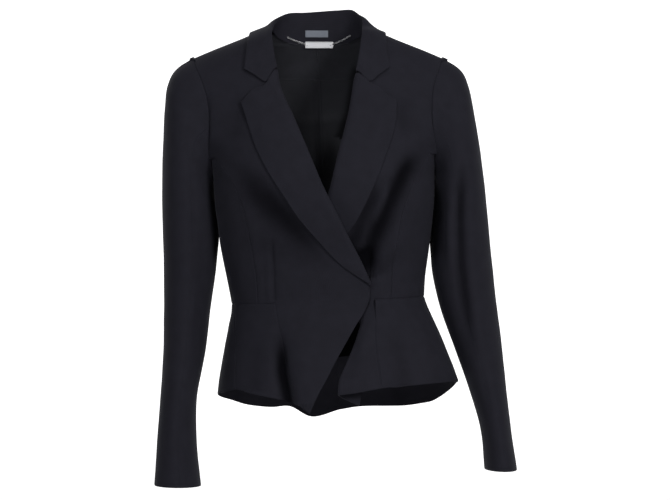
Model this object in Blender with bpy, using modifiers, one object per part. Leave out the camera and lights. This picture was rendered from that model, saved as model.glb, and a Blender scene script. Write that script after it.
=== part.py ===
"""Peplum jacket, worn shape with no wearer: tailored cloth panels as thin walls.

Metres, +Z up, the front faces -Y, so the wearer's right is at -X. The origin is the centre of
the neck opening at the height of the back neck seam. Tables are in millimetres.
"""

import math

import bmesh
import bpy
import numpy as np
from mathutils import Vector
from mathutils.kdtree import KDTree

MM = 0.001
CLOTH = 1.2
LINING = 1.0
SEAM_HALF_GAP = 0.18
SHOULDER_GAP = 0.35
ROUNDNESS = 2.3
NECK_HALF_WIDTH = 72.0
UNDER_LAYER = 7.6
LAPEL_LIFT = 3.0
FACING_DEPTH = 3.3
LINING_DEPTH = 1.9
WAIST = -382.0
UNDERARM = -200.0
PRINCESS_TOP = -168.0
BACK_COLUMNS = 12
VIEW_DISTANCE = 3500.0
VIEW_X = 25.5
VIEW_Z = -307.0

# Cross-sections of the body from the shoulder ridge down to the hem.
# level, centre x, half width, front depth, back depth, shoulder slope, sideways slope
BODY_SECTIONS = np.array([
    (27, 0.0, 188.0, 0, 0, 0.405, 0),
    (26, 0.0, 191.0, 9, 9, 0.405, 0),
    (20, 0.0, 203.0, 23, 21, 0.4, 0),
    (10, 0.0, 215.0, 35, 32, 0.387, 0),
    (0, 0.0, 223.0, 43, 42, 0.37, 0),
    (-20, 0.5, 224.0, 53, 59, 0.32, 0),
    (-45, 1.5, 216.0, 63, 74, 0.25, 0),
    (-70, 3.0, 202.0, 74, 86, 0.16, 0.004),
    (-96, 4.0, 191.0, 82, 94, 0.08, 0.008),
    (-122, 5.0, 183.5, 93, 99, 0.03, 0.012),
    (-147, 6.0, 177.0, 102, 102, 0, 0.016),
    (-168, 7.5, 171.5, 109, 104, 0, 0.02),
    (-184, 8.5, 168.0, 113, 105, 0, 0.022),
    (-200, 9.25, 165.75, 116, 106, 0, 0.024),
    (-220, 9.7, 165.0, 117, 106, 0, 0.026),
    (-243, 10.25, 163.75, 116, 105, 0, 0.028),
    (-265, 10.8, 161.0, 112, 102, 0, 0.03),
    (-290, 11.0, 158.3, 106, 98.5, 0, 0.032),
    (-318, 12.0, 154.0, 99, 94, 0, 0.034),
    (-350, 12.8, 148.2, 93, 89, 0, 0.038),
    (-382, 15.0, 144.0, 90, 86, 0, 0.04),
    (-396, 17.0, 147.0, 93, 90, 0, 0.04),
    (-412, 18.8, 152.3, 98, 96, 0, 0.04),
    (-430, 21.3, 158.0, 103, 102, 0, 0.04),
    (-450, 23.8, 164.0, 108, 109, 0, 0.04),
    (-475, 26.7, 171.0, 114, 117, 0, 0.04),
    (-505, 30.3, 179.3, 121, 127, 0, 0.04),
    (-530, 32.0, 182.0, 125, 133, 0, 0.04),
    (-575, 32.5, 183.0, 127, 137, 0, 0.04),
])

# Bust fullness: bearing in degrees from the front, level, reach, width in degrees, height.
BUST_POINTS = (
    (-36.0, -218.0, 11.0, 21.0, 46.0),
    (36.0, -218.0, 11.0, 21.0, 46.0),
)

# Flutes of the peplum: bearing, depth at the hem (outward positive), width in degrees.
FLUTES = (
    (-24.0, -9.0, 8.0),
    (-44.0, 4.0, 12.0),
    (26.0, -5.0, 8.0),
    (46.0, 5.0, 13.0),
    (-108.0, 4.0, 13.0),
    (-134.0, -6.0, 13.0),
    (-158.0, 4.0, 12.0),
    (180.0, 6.0, 13.0),
    (156.0, -6.0, 12.0),
    (130.0, 6.0, 13.0),
)

# How far the armhole seam stands from the body's centre, at each level.
ARMHOLE = np.array([
    (27, 187.0), (26, 186.5), (20, 185.0), (10, 182.5), (0, 180.0), (-20, 174.5), (-45, 169.5),
    (-70, 166.5), (-96, 165.0), (-122, 165.0), (-147, 165.5), (-168, 166.0), (-184, 165.8),
    (-200, 165.75),
])

# Seam lines on the front as seen from the front: x, z.
NECK_AND_ROLL_OVER = (
    (-72, 26), (-72.5, 10), (-70.5, -8), (-66.5, -26), (-62.8, -42), (-59, -63), (-44.7, -95),
    (-30.5, -127.5), (-13.5, -168), (4, -210), (40, -282), (62.5, -325.5), (78.5, -357),
)
EDGE_OVER = (
    (82, -366), (79.5, -376.5), (70.5, -397.5), (52, -427.5), (33, -461), (16.5, -493.5),
    (-4, -531), (-14, -552),
)
NECK_AND_ROLL_UNDER = (
    (72, 26), (72.5, 10), (70, -8), (65, -28), (58, -48), (48.3, -102), (33.5, -160.5),
    (22, -213), (12.7, -242), (3.5, -268), (-18.5, -318), (-30.5, -341), (-41, -362), (-43, -372),
)
FOLD_UNDER = (
    (84, 26), (86, 10), (84, -8), (80, -28), (73, -48), (66, -102), (58, -160.5), (56, -213),
    (66, -268), (72, -318), (77, -360), (77, -376), (74, -391.5), (70.5, -409), (63, -427.5),
    (52, -454), (42, -478.5), (33, -502.5), (31, -516),
)
DART_RIGHT = (
    (-110, 10), (-104, -60), (-86, -150), (-74, -245), (-68, -285), (-65, -334.5), (-65, -388),
    (-63, -400), (-58, -430),
    (-51, -480), (-43, -529),
)
DART_LEFT = (
    (112, 10), (112, -60), (108, -150), (100, -245), (94, -285), (91, -334.5), (87, -376),
    (87, -400), (87, -442.5), (93, -487.5), (97, -511),
)
PRINCESS_RIGHT = (
    (-154.5, -168), (-118.5, -232.5), (-109.5, -259.5), (-99, -310.5), (-93, -348), (-91.5, -388),
)
PRINCESS_LEFT = (
    (168, -165), (136, -228), (126, -262), (118, -305), (112.5, -340), (111, -377),
)
# Bearing of the side seams, in degrees from the front, at each level.
SIDE_RIGHT = np.array([
    (-200, -90), (-290, -87), (-350, -82), (-382, -77), (-417, -65), (-460, -59), (-530, -52),
])
SIDE_LEFT = np.array([(-200, 90), (-290, 92), (-382, 96), (-460, 99), (-530, 101)])

# Free edge of the under front below the waist, where it rolls back inside:
# level, x, distance behind the fold.
TURNED_EDGE = np.array([
    (-382, -26, 3.5), (-396, 24, 6.0), (-413, 62, 11.0), (-432, 70, 18.0), (-455, 70, 24.0),
    (-478, 68, 28.0), (-500, 64, 31.0), (-522, 60, 33.0),
])

# Hem line: bearing in degrees, level. The back hangs lower than the front.
HEM_OVER = ((-64, -503), (-52, -504.5), (-35, -515), (-21, -525.5), (-16.4, -530.5), (-11.3, -543))
HEM_UNDER = ((-3, -518), (6, -515), (12, -512), (20, -509), (48, -507), (80, -508), (101, -515))
HEM_BACK_RIGHT = (
    (-52, -504.5), (-70, -510), (-90, -516), (-102.7, -521), (-113, -526.5), (-120, -531),
    (-125.5, -536.5), (-135, -541.5), (-147, -545.5), (-158.8, -546), (-169.75, -565),
    (-180, -555.7),
)
HEM_BACK_LEFT = ((101, -515), (118, -528.5), (135, -547), (147, -551), (158, -551.5), (172, -551),
                 (180, -555.7))

LEVELS_UPPER = (
    27, 26, 20, 10, 0, -20, -45, -70, -96, -122, -147, -168, -184, -200, -220, -243, -265, -290,
    -318, -350, -382,
)
PEPLUM_STEPS = (0.0, 0.1, 0.22, 0.36, 0.52, 0.68, 0.84, 1.0)

# Back neckline: level, distance from the centre.
BACK_NECK = np.array([(27, 72.0), (26, 71.0), (20, 66.0), (10, 51.0), (0, 0.0), (-600, 0.0)])

# Sleeve rings: outer x, outer z, inner x, inner z, half depth, centre y.
SLEEVE_RIGHT = (
    (-187, -19.6, -157, -200, 50, 2),
    (-195, -24.5, -157.6, -202, 51, 2),
    (-205, -30.5, -158, -205.5, 53, 2),
    (-217, -42, -158.4, -211, 55, 2),
    (-226, -62, -158, -217, 57, 2),
    (-229.5, -92, -157.3, -225, 58.5, 2),
    (-231.5, -130, -156, -236, 60, 2),
    (-233.5, -185, -153.9, -253, 60, 2),
    (-233.5, -250, -150.2, -285, 59, 4),
    (-231.5, -320, -148.5, -330, 57, 4),
    (-231, -385, -158, -385, 54.5, 0),
    (-231.3, -460, -168.5, -460, 51, -9),
    (-235, -530, -180.5, -530, 48, -20),
    (-239.5, -600, -179.5, -600, 46, -30),
    (-242.5, -655, -173, -656, 45, -37),
)
SLEEVE_LEFT = (
    (185, -19.6, 175.2, -200, 50, 2),
    (194, -25.5, 176, -202, 51, 2),
    (204, -31, 176.6, -205.5, 53, 2),
    (216, -42, 177, -211, 55, 2),
    (225, -62, 177.2, -217, 57, 2),
    (232, -92, 177, -225, 58.5, 2),
    (239, -130, 176.4, -236, 60, 2),
    (247, -185, 175.2, -253, 60, 2),
    (254, -250, 172, -285, 59, 4),
    (260.5, -320, 170.5, -328, 57, 4),
    (267, -382, 180, -382, 54.5, 0),
    (275.5, -455, 205, -455, 52, -9),
    (282, -525, 229, -525, 50.5, -20),
    (288.5, -584, 243.5, -583, 50, -30),
    (295.5, -632, 247, -631, 50, -37),
)
CAP_BLEND = (0.0, 0.12, 0.3, 0.5, 0.7, 0.86, 0.96)

# Lapels: the roll line and the outer edge as seen from the front, top to bottom.
LAPEL_OVER_ROLL = (
    (-59.5, -40), (-55.5, -63), (-41.5, -95), (-27, -127.5), (-10, -168), (7.5, -210),
    (26, -247), (43.5, -282), (56, -306), (66, -325.5), (74, -343), (80, -356),
)
LAPEL_OVER_EDGE = (
    (-115.5, -85.5), (-108, -108), (-102, -127.5), (-95, -148), (-87, -166.5), (-73, -193),
    (-57, -217.5), (-30, -258), (6, -300), (30, -325.5), (56, -345), (79, -360),
)
LAPEL_UNDER_ROLL = (
    (55.5, -45), (52.5, -56), (49, -80), (45, -102), (38, -131), (30, -160.5), (18, -213),
    (9, -242), (0, -268), (-22, -318), (-34, -341), (-45, -362),
)
LAPEL_UNDER_EDGE = (
    (118.5, -84), (117.5, -100), (116.5, -114), (112, -134), (106, -153), (93, -189),
    (82.5, -213), (66, -247.5), (45, -282), (10, -322), (-16, -346), (-46, -366),
)
NOTCH_OVER = (-80, -60.5)
NOTCH_UNDER = (78, -57)

# Across a lapel: distance in from the roll line, share of the width, height over the panel.
LAPEL_SECTION = (
    (13.0, 0.0, -FACING_DEPTH), (3.0, 0.0, -FACING_DEPTH), (0.8, 0.0, -2.1), (0.0, 0.0, -0.3),
    (0.8, 0.0, 1.5), (3.2, 0.0, LAPEL_LIFT), (3.2, 0.3, LAPEL_LIFT), (1.6, 0.64, LAPEL_LIFT),
    (0.0, 1.0, LAPEL_LIFT),
)

# Collar from the wearer's right notch round the back to the left one:
# the neck seam, the roll line at the top, and the outer edge of the leaf.
COLLAR = (
    ((-60.5, -55, -41), (-59.5, -62, -38), (-109, -58, -39)),
    ((-64.3, -48.5, -24.5), (-64, -57, -18), (-106, -48, -14)),
    ((-68, -39.5, -6), (-67.5, -45, 5), (-104.5, -34, 4)),
    ((-70.2, -27, 12), (-68.5, -31, 19), (-102, -10, 14)),
    ((-68.6, -10, 23), (-67, -13, 29.5), (-100, 4, 17.5)),
    ((-68.6, 5, 27.3), (-63.5, 1, 37.5), (-97, 17, 14)),
    ((-62, 19.3, 18.2), (-56, 17, 45.5), (-86, 37, 5)),
    ((-44.5, 31.6, 9.8), (-43, 35, 52), (-62, 52, -6)),
    ((-23, 38.9, 3.4), (-20, 43.5, 53.5), (-30, 62, -12)),
    ((0, 40.8, 0.9), (4, 46, 54.5), (3, 66, -14)),
    ((23, 38.9, 3.4), (30, 43.5, 55.5), (36, 62, -12)),
    ((44.5, 31.6, 9.8), (51, 34, 55), (68, 52, -5)),
    ((62, 19.3, 18.2), (61.5, 17, 48), (90, 37, 6)),
    ((68.6, 5, 27.3), (68, 1, 41), (98, 17, 17.5)),
    ((68.6, -10, 23), (66.5, -13, 29.5), (99.5, 4, 18)),
    ((70.2, -27, 12), (65.5, -31, 19), (100.5, -10, 14)),
    ((67.5, -39.5, -6), (64, -45, 4), (101.5, -34, 0)),
    ((63.3, -48.5, -26), (60.5, -57, -19), (103.5, -48, -16)),
    ((56.8, -56, -46), (56, -63.4, -42.5), (107, -57, -36)),
)
COLLAR_NOTCH_RIGHT = (-78, -55.5)
COLLAR_NOTCH_LEFT = (76.5, -55)

NECK_LABEL = (-19.5, 15.0, 15.5, 26.0)
PLATE_SIZE = (42.0, 1.4, 10.0)
PLATE_CENTRE = (1.5, 34.7, 3.5)
CHAIN_WIDTH = 2.2
CHAIN_SAG = 0.8
CHAIN_LIFT_AT_PLATE = 3.0
# word, start and end seen from the front, distance ahead of the stand
CHAINS = (("right", (-45.0, 14.0), (-20.3, 5.0), -1.6), ("left", (47.5, 16.5), (23.3, 5.0), -2.1))
STAND_HEIGHT = 46
STAND_FOOT = 6.0


def clear_scene():
    for obj in list(bpy.data.objects):
        bpy.data.objects.remove(obj, do_unlink=True)


def make_material(name, colour, roughness, metallic=0.0):
    material = bpy.data.materials.new(name)
    material.use_nodes = True
    shader = material.node_tree.nodes["Principled BSDF"]
    shader.inputs["Base Color"].default_value = (*colour, 1.0)
    shader.inputs["Roughness"].default_value = roughness
    shader.inputs["Metallic"].default_value = metallic
    return material


def section_at(level):
    """The body's section values at a level, by straight runs between the table's rows."""
    levels = BODY_SECTIONS[::-1, 0]
    return [float(np.interp(level, levels, BODY_SECTIONS[::-1, column])) for column in range(1, 7)]


def body_point(bearing, level, lift=0.0):
    """A point on the outside of the body. The bearing is in degrees from the front."""
    if lift:
        return body_point(bearing, level) + body_normal(bearing, level) * float(lift)
    centre, half_width, front, back, slope, sideways = section_at(level)
    angle = math.radians(bearing)
    across = math.copysign(abs(math.sin(angle)) ** (2 / ROUNDNESS), math.sin(angle))
    ahead = math.copysign(abs(math.cos(angle)) ** (2 / ROUNDNESS), math.cos(angle))
    depth = front if ahead > 0 else back
    x = half_width * across
    y = -depth * ahead
    for bust_bearing, bust_level, reach, width, height in BUST_POINTS:
        fall = ((bearing - bust_bearing) / width) ** 2 + ((level - bust_level) / height) ** 2
        y -= reach * math.exp(-fall / 2) * min(1.0, depth / 40)
    below = max(0.0, WAIST - level) / 140
    if below:
        reach = 0.0
        for flute_bearing, depth_at_hem, width in FLUTES:
            turn = (bearing - flute_bearing + 180) % 360 - 180
            reach += depth_at_hem * below ** 1.3 * math.exp(-((turn / width) ** 2) / 2)
        out = math.hypot(x, y)
        x *= 1 + reach / out
        y *= 1 + reach / out
    z = level - slope * max(0.0, abs(x + centre) - NECK_HALF_WIDTH) + sideways * x
    return Vector((x + centre, y, z))


def body_normal(bearing, level):
    if level > 26.5:
        flat = body_point(bearing + 0.5, level) - body_point(bearing - 0.5, level)
        return flat.cross(Vector((0, 1, 0))).normalized() * (1 if flat.x > 0 else -1)
    around = body_point(bearing + 0.8, level) - body_point(bearing - 0.8, level)
    down = body_point(bearing, level - 3) - body_point(bearing, min(27.0, level + 3))
    return down.cross(around).normalized()


def level_of(x, z):
    """The level whose line passes through a point of the front with this x and z."""
    level = z
    for _ in range(40):
        centre, _, _, _, slope, sideways = section_at(level)
        level = z + slope * max(0.0, abs(x) - NECK_HALF_WIDTH) - sideways * (x - centre)
        level = min(27.0, level)
    return level


def front_place(x, z):
    """Bearing and level of a point of the front that is seen at x, z from the front."""
    true_x, true_z = x, z
    for _ in range(4):
        level = level_of(true_x, true_z)
        centre, half_width = section_at(level)[:2]
        share = (true_x - centre) / half_width
        bearing = bearing_of_share(share)
        scale = (VIEW_DISTANCE + body_point(bearing, level).y) / VIEW_DISTANCE
        true_x = VIEW_X + (x - VIEW_X) * scale
        true_z = VIEW_Z + (z - VIEW_Z) * scale
    return bearing, level


def bearing_at(distance, level, side, back=False):
    """Bearing of the point that stands this far sideways from the centre."""
    bearing = bearing_of_share(abs(distance) / section_at(level)[1])
    return side * (180 - bearing if back else bearing)


def guide(points):
    """A seam line of the front as a function from level to bearing."""
    places = []
    for x, z in points:
        bearing, level = front_place(x, z)
        share = abs(math.sin(math.radians(bearing))) ** (2 / ROUNDNESS)
        places.append((level, math.copysign(share, bearing)))
    places.sort()
    levels = [place[0] for place in places]
    shares = [place[1] for place in places]
    return lambda level: bearing_of_share(float(np.interp(level, levels, shares)))


def bearing_of_share(share):
    """Bearing of the point of the front at this share of the half width."""
    share = max(-1.0, min(1.0, share))
    return math.degrees(math.asin(math.copysign(abs(share) ** (ROUNDNESS / 2), share)))


def guide_of_table(table):
    rows = np.array(sorted(map(tuple, table)))
    return lambda level: float(np.interp(level, rows[:, 0], rows[:, 1]))


def armhole_guide(side, back=False):
    rows = ARMHOLE[::-1]
    return lambda level: bearing_at(np.interp(level, rows[:, 0], rows[:, 1]), level, side, back)


def hem_level(hem, bearing):
    places = sorted((b % 360 if hem in (HEM_BACK_RIGHT, HEM_BACK_LEFT) else b, v) for b, v in hem)
    value = bearing % 360 if hem in (HEM_BACK_RIGHT, HEM_BACK_LEFT) else bearing
    return float(np.interp(value, [place[0] for place in places], [place[1] for place in places]))


def blend(low, high, value):
    share = max(0.0, min(1.0, (value - low) / (high - low)))
    return share * share * (3 - 2 * share)


def inset(points, cells, gap):
    """Moves the border of a grid of cells inwards by half a seam's gap, in its own surface."""
    rows, columns = cells.shape
    inward = {}
    for i in range(rows):
        for j in range(columns):
            if not cells[i, j]:
                continue
            corners = [(i, j), (i, j + 1), (i + 1, j + 1), (i + 1, j)]
            beyond = [(i - 1, j), (i, j + 1), (i + 1, j), (i, j - 1)]
            middle = sum((points[a][b] for a, b in corners), Vector()) / 4
            for k, (a, b) in enumerate(beyond):
                if 0 <= a < rows and 0 <= b < columns and cells[a, b]:
                    continue
                start, end = corners[k], corners[(k + 1) % 4]
                along = points[end[0]][end[1]] - points[start[0]][start[1]]
                if along.length < 1e-6:
                    continue
                along.normalize()
                to_middle = middle - points[start[0]][start[1]]
                to_middle = (to_middle - along * to_middle.dot(along)).normalized()
                for corner in (start, end):
                    inward.setdefault(corner, []).append(to_middle)
    for (i, j), directions in inward.items():
        first, last = directions[0], directions[-1]
        shift = (first + last) / max(0.3, 1 + first.dot(last))
        points[i][j] = points[i][j] + shift * gap


def make_sheet(name, points, material, collection, inside, thickness=CLOTH, cells=None,
               gap=SEAM_HALF_GAP):
    """One cloth piece: a loft through rows of points, thickened towards its inside."""
    rows, columns = len(points) - 1, len(points[0]) - 1
    cells = np.ones((rows, columns), bool) if cells is None else cells
    points = [list(row) for row in points]
    inset(points, cells, gap)
    mesh = bpy.data.meshes.new(name)
    shape = bmesh.new()
    corners = {}

    def corner(i, j):
        if (i, j) not in corners:
            corners[i, j] = shape.verts.new(points[i][j] * MM)
        return corners[i, j]

    facing = 0.0
    for i in range(rows):
        for j in range(columns):
            if not cells[i, j]:
                continue
            ring = [corner(i, j), corner(i + 1, j), corner(i + 1, j + 1), corner(i, j + 1)]
            face = shape.faces.new(ring)
            face.smooth = True
            face.normal_update()
            middle = face.calc_center_median() / MM
            facing += face.normal.dot(middle - inside(middle)) * face.calc_area()
    if facing < 0:
        bmesh.ops.reverse_faces(shape, faces=shape.faces)
    shape.to_mesh(mesh)
    shape.free()
    mesh.materials.append(material)
    obj = bpy.data.objects.new(name, mesh)
    collection.objects.link(obj)
    wall = obj.modifiers.new("wall", "SOLIDIFY")
    wall.thickness = thickness * MM
    wall.offset = -1
    return obj


def body_axis(point):
    """The middle of the body at a point's height."""
    return Vector((section_at(min(27.0, point.z))[0], 4.0, point.z - 8 if point.z > -60 else point.z))


def spread(start, end, count):
    return [start + (end - start) * k / count for k in range(count + 1)]


def front_panel(lines, counts, hem, lift_at):
    """A front: shoulder to hem in one, with the waist seam only between dart and princess."""
    points = []
    placed = []
    for level in LEVELS_UPPER:
        bearings = []
        for first, last, count in zip(lines, lines[1:], counts):
            run = spread(first(level), last(level), count)
            bearings += run if not bearings else run[1:]
        placed.append([(bearing, level) for bearing in bearings])
    dart = counts[0]
    for step in PEPLUM_STEPS[1:]:
        row = []
        edge_level = WAIST + step * (hem_level(hem, lines[0](-600)) - WAIST)
        dart_level = WAIST + step * (hem_level(hem, lines[1](-600)) - WAIST)
        for bearing in spread(lines[0](edge_level), lines[1](dart_level), dart):
            at_hem = spread(lines[0](-600), lines[1](-600), dart)[len(row)]
            row.append((bearing, WAIST + step * (hem_level(hem, at_hem) - WAIST)))
        row += [row[-1]] * (sum(counts) - dart)
        placed.append(row)
    for row in placed:
        points.append([body_point(b, v, lift_at(b, v)) for b, v in row])
    points[0] = [point + Vector((0, -SHOULDER_GAP, 0)) for point in points[0]]
    cells = np.ones((len(points) - 1, len(points[0]) - 1), bool)
    waist_row = len(LEVELS_UPPER) - 1
    cells[waist_row:, dart:] = False
    princess_row = LEVELS_UPPER.index(int(PRINCESS_TOP))
    cells[princess_row:, dart + counts[1]:] = False
    return points, cells


def main():
    clear_scene()
    collection = bpy.data.collections.new("peplum_jacket")
    bpy.context.scene.collection.children.link(collection)
    cloth = make_material("jacket_cloth", (0.013, 0.0135, 0.0185), 0.85)
    lining = make_material("lining", (0.0105, 0.0135, 0.0155), 0.55)
    label = make_material("label_cloth", (0.08, 0.1, 0.14), 0.7)
    metal = make_material("polished_steel", (0.75, 0.75, 0.76), 0.2, 1.0)

    roll_over = guide(NECK_AND_ROLL_OVER + EDGE_OVER)
    roll_under = guide(NECK_AND_ROLL_UNDER)
    fold_under = guide(FOLD_UNDER)
    over_edge_x = sorted((z, x) for x, z in LAPEL_OVER_ROLL + EDGE_OVER)

    def under_lift(bearing, level):
        """How deep the under front lies where the over front crosses it."""
        point = body_point(bearing, level)
        cover = np.interp(point.z, [z for z, _ in over_edge_x], [x for _, x in over_edge_x])
        share = blend(0.0, 30.0, cover + 24 - point.x) * blend(0.0, 45.0, -150 - level)
        return -UNDER_LAYER * share

    make_fronts(collection, cloth, roll_over, roll_under, fold_under, under_lift)
    make_sides_and_backs(collection, cloth)
    make_sleeves(collection, cloth)
    make_lapels(collection, cloth, under_lift)
    stand = make_collar(collection, cloth)
    make_back_lining(collection, cloth, lining)
    make_neck_trim(collection, label, metal, stand)


def make_fronts(collection, cloth, roll_over, roll_under, fold_under, under_lift):
    dart_right, dart_left = guide(DART_RIGHT), guide(DART_LEFT)
    princess = {
        -1: princess_guide(guide(PRINCESS_RIGHT), armhole_guide(-1)),
        1: princess_guide(guide(PRINCESS_LEFT), armhole_guide(1)),
    }
    lines = (roll_over, dart_right, princess[-1], armhole_guide(-1))
    points, cells = front_panel(lines, (8, 2, 1), HEM_OVER, lambda b, v: 0.0)
    make_sheet("front_right", points, cloth, collection, body_axis, cells=cells)

    lines = (fold_under, dart_left, princess[1], armhole_guide(1))
    points, cells = front_panel(lines, (4, 2, 1), HEM_UNDER, under_lift)
    turned = turned_front(points, roll_under, under_lift)
    points = [lead + row for lead, row in zip(turned, points)]
    cells = np.hstack([np.ones((len(cells), len(turned[0])), bool), cells])
    make_sheet("front_left", points, cloth, collection, body_axis, cells=cells)


def princess_guide(line, armhole):
    """The princess seam, run on up the front just inside the armhole."""
    return lambda level: line(level) if level < PRINCESS_TOP else (
        line(PRINCESS_TOP) - armhole(PRINCESS_TOP) + armhole(level))


def turned_front(points, roll_under, under_lift):
    """The under front from its free edge to the fold guide."""
    rows = []
    table = TURNED_EDGE[::-1]
    for index, row in enumerate(points):
        fold = row[0]
        if index < len(LEVELS_UPPER):
            level = LEVELS_UPPER[index]
            start = roll_under(level)
            here = bearing_of(fold, level)
            run = spread(start, here, 5)[:5]
            rows.append([body_point(b, level, under_lift(b, level)) for b in run])
            continue
        free_x = np.interp(fold.z, table[:, 0], table[:, 1])
        behind = np.interp(fold.z, table[:, 0], table[:, 2])
        drop = 18.0 * blend(-440, -520, fold.z)
        free = Vector((free_x, fold.y + behind, fold.z - drop))
        bend = Vector((fold.x - 9 * blend(-385, -430, fold.z), fold.y + behind * 0.45, fold.z))
        if fold.z > -400:
            bend = (fold + free) / 2
        rows.append([quadratic(free, bend, fold, t) for t in (0.0, 0.3, 0.55, 0.75, 0.9)])
    return rows


def bearing_of(point, level):
    centre, half_width = section_at(level)[:2]
    return bearing_of_share((point.x - centre) / half_width)


def quadratic(start, middle, end, t):
    return start * (1 - t) ** 2 + middle * 2 * t * (1 - t) + end * t ** 2


def make_sides_and_backs(collection, cloth):
    for side, word in ((-1, "right"), (1, "left")):
        princess = guide(PRINCESS_RIGHT if side < 0 else PRINCESS_LEFT)
        dart = guide(DART_RIGHT if side < 0 else DART_LEFT)
        seam = guide_of_table(SIDE_RIGHT if side < 0 else SIDE_LEFT)
        armhole = armhole_guide(side)
        hem_front = HEM_OVER if side < 0 else HEM_UNDER
        first = LEVELS_UPPER.index(int(PRINCESS_TOP))
        rows = []
        for level in LEVELS_UPPER[first:]:
            outer = armhole(level) if level > UNDERARM else seam(level)
            rows.append([body_point(b, level) for b in spread(princess(level), outer, 4)])
        make_sheet("side_front_" + word, rows, cloth, collection, body_axis)

        rows = []
        for step in PEPLUM_STEPS:
            row = []
            ends = []
            for line in (dart, princess, seam):
                if line is princess:
                    share = (princess(WAIST) - dart(WAIST)) / (seam(WAIST) - dart(WAIST))
                    at_hem = dart(-600) + (seam(-600) - dart(-600)) * share
                    level = WAIST + step * (hem_level(hem_front, at_hem) - WAIST)
                    ends.append(dart(level) + (seam(level) - dart(level)) * share)
                else:
                    level = WAIST + step * (hem_level(hem_front, line(-600)) - WAIST)
                    ends.append(line(level))
            bearings = spread(ends[0], ends[1], 2) + spread(ends[1], ends[2], 4)[1:]
            for bearing in bearings:
                level = WAIST + step * (hem_level(hem_front, bearing) - WAIST)
                row.append(body_point(bearing, level))
            rows.append(row)
        make_sheet("peplum_side_" + word, rows, cloth, collection, body_axis)

        make_sheet("back_" + word, back_rows(side), cloth, collection, body_axis)
        make_sheet("peplum_back_" + word, peplum_back_rows(side), cloth, collection, body_axis)


def back_rows(side, lift=0.0, levels=LEVELS_UPPER):
    """The back bodice from the armhole or side seam to the neckline or centre back."""
    seam = guide_of_table(SIDE_RIGHT if side < 0 else SIDE_LEFT)
    armhole = armhole_guide(side, back=True)
    neck = BACK_NECK[::-1]
    rows = []
    for level in levels:
        outer = armhole(level) if level > UNDERARM else seam(level)
        inner_x = np.interp(level, neck[:, 0], neck[:, 1])
        inner = bearing_at(inner_x, level, side, back=True)
        rows.append([body_point(b, level, lift) for b in spread(outer, inner, BACK_COLUMNS)])
    if levels[0] == 27:
        rows[0] = [point + Vector((0, SHOULDER_GAP, 0)) for point in rows[0]]
    return rows


def peplum_back_rows(side, lift=0.0):
    seam = guide_of_table(SIDE_RIGHT if side < 0 else SIDE_LEFT)
    hem = HEM_BACK_RIGHT if side < 0 else HEM_BACK_LEFT
    rows = []
    for step in PEPLUM_STEPS:
        seam_level = WAIST + step * (hem_level(hem, seam(-600)) - WAIST)
        row = []
        for bearing in spread(seam(seam_level), side * 180.0, BACK_COLUMNS):
            level = WAIST + step * (hem_level(hem, bearing) - WAIST)
            row.append(body_point(bearing, level, lift))
        rows.append(row)
    return rows


def armhole_loop(side):
    """Points of the armhole from the shoulder tip down the front and up the back."""
    levels = [level for level in LEVELS_UPPER if level >= UNDERARM]
    front, back = armhole_guide(side), armhole_guide(side, back=True)
    loop = [body_point(front(level), level) for level in levels]
    loop += [body_point(back(level), level) for level in levels[-2:0:-1]]
    return loop


def make_sleeves(collection, cloth):
    for side, word, rings in ((-1, "right", SLEEVE_RIGHT), (1, "left", SLEEVE_LEFT)):
        loop = armhole_loop(side)
        count = len(loop)
        top, bottom = loop[0], loop[count // 2]
        axis = top - bottom
        turns = []
        for point in loop:
            along = (point - bottom).dot(axis) / axis.length_squared * 2 - 1
            turns.append(math.atan2(-(point.y - rings[0][5]) / rings[0][4], along))
        turns[0], turns[count // 2] = 0.0, math.pi
        sections = []
        centres = []
        for k, (outer_x, outer_z, inner_x, inner_z, depth, centre_y) in enumerate(rings):
            outer = Vector((outer_x, centre_y, outer_z))
            inner = Vector((inner_x, centre_y, inner_z))
            share = CAP_BLEND[k] if k < len(CAP_BLEND) else 1.0
            first_outer = Vector((rings[0][0], rings[0][5], rings[0][1]))
            first_inner = Vector((rings[0][2], rings[0][5], rings[0][3]))
            ring = []
            for point, turn in zip(loop, turns):
                up = (1 + math.cos(turn)) / 2
                oval = inner + (outer - inner) * up - Vector((0, depth * math.sin(turn), 0))
                moved = point + (outer - first_outer) * up + (inner - first_inner) * (1 - up)
                moved.x += side * 0.35
                ring.append(moved.lerp(oval, share))
            sections.append(ring)
            centres.append((outer + inner) / 2)

        def inside(point):
            return min(centres, key=lambda centre: (centre - point).length)

        def columns(first, last):
            return [[ring[k % count] for k in range(first, last + 1)] for ring in sections]

        front_seam = 9
        back_seam = count - 9
        make_sheet("sleeve_top_" + word, columns(back_seam - count, front_seam), cloth,
                   collection, inside, gap=0.36)
        make_sheet("sleeve_under_" + word, columns(front_seam, back_seam), cloth, collection,
                   inside, gap=0.36)


def make_lapels(collection, cloth, under_lift):
    for word, roll, edge, notch, lift_at in (
        ("right", LAPEL_OVER_ROLL, LAPEL_OVER_EDGE, NOTCH_OVER, lambda b, v: 0.0),
        ("left", LAPEL_UNDER_ROLL, LAPEL_UNDER_EDGE, NOTCH_UNDER, under_lift),
    ):
        rows = []
        roll, edge = refined(roll), refined(edge)
        for k, (inner, outer) in enumerate(zip(roll, edge)):
            before = roll[max(0, k - 1)]
            after = roll[min(len(roll) - 1, k + 1)]
            along = (after - before).normalized()
            across = Vector((-along.y, along.x))
            if across.dot(outer - inner) < 0:
                across = -across
            row = []
            for distance, share, lift in LAPEL_SECTION:
                place = inner + (outer - inner) * share + across * distance
                if k == 0 and 0.2 < share < 0.5:
                    place = Vector(notch)
                bearing, level = front_place(place.x, place.y)
                row.append(body_point(bearing, level, lift + lift_at(bearing, level)))
            rows.append(row)
        make_sheet("lapel_" + word, rows, cloth, collection, fold_core(rows), gap=0.2)


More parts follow.
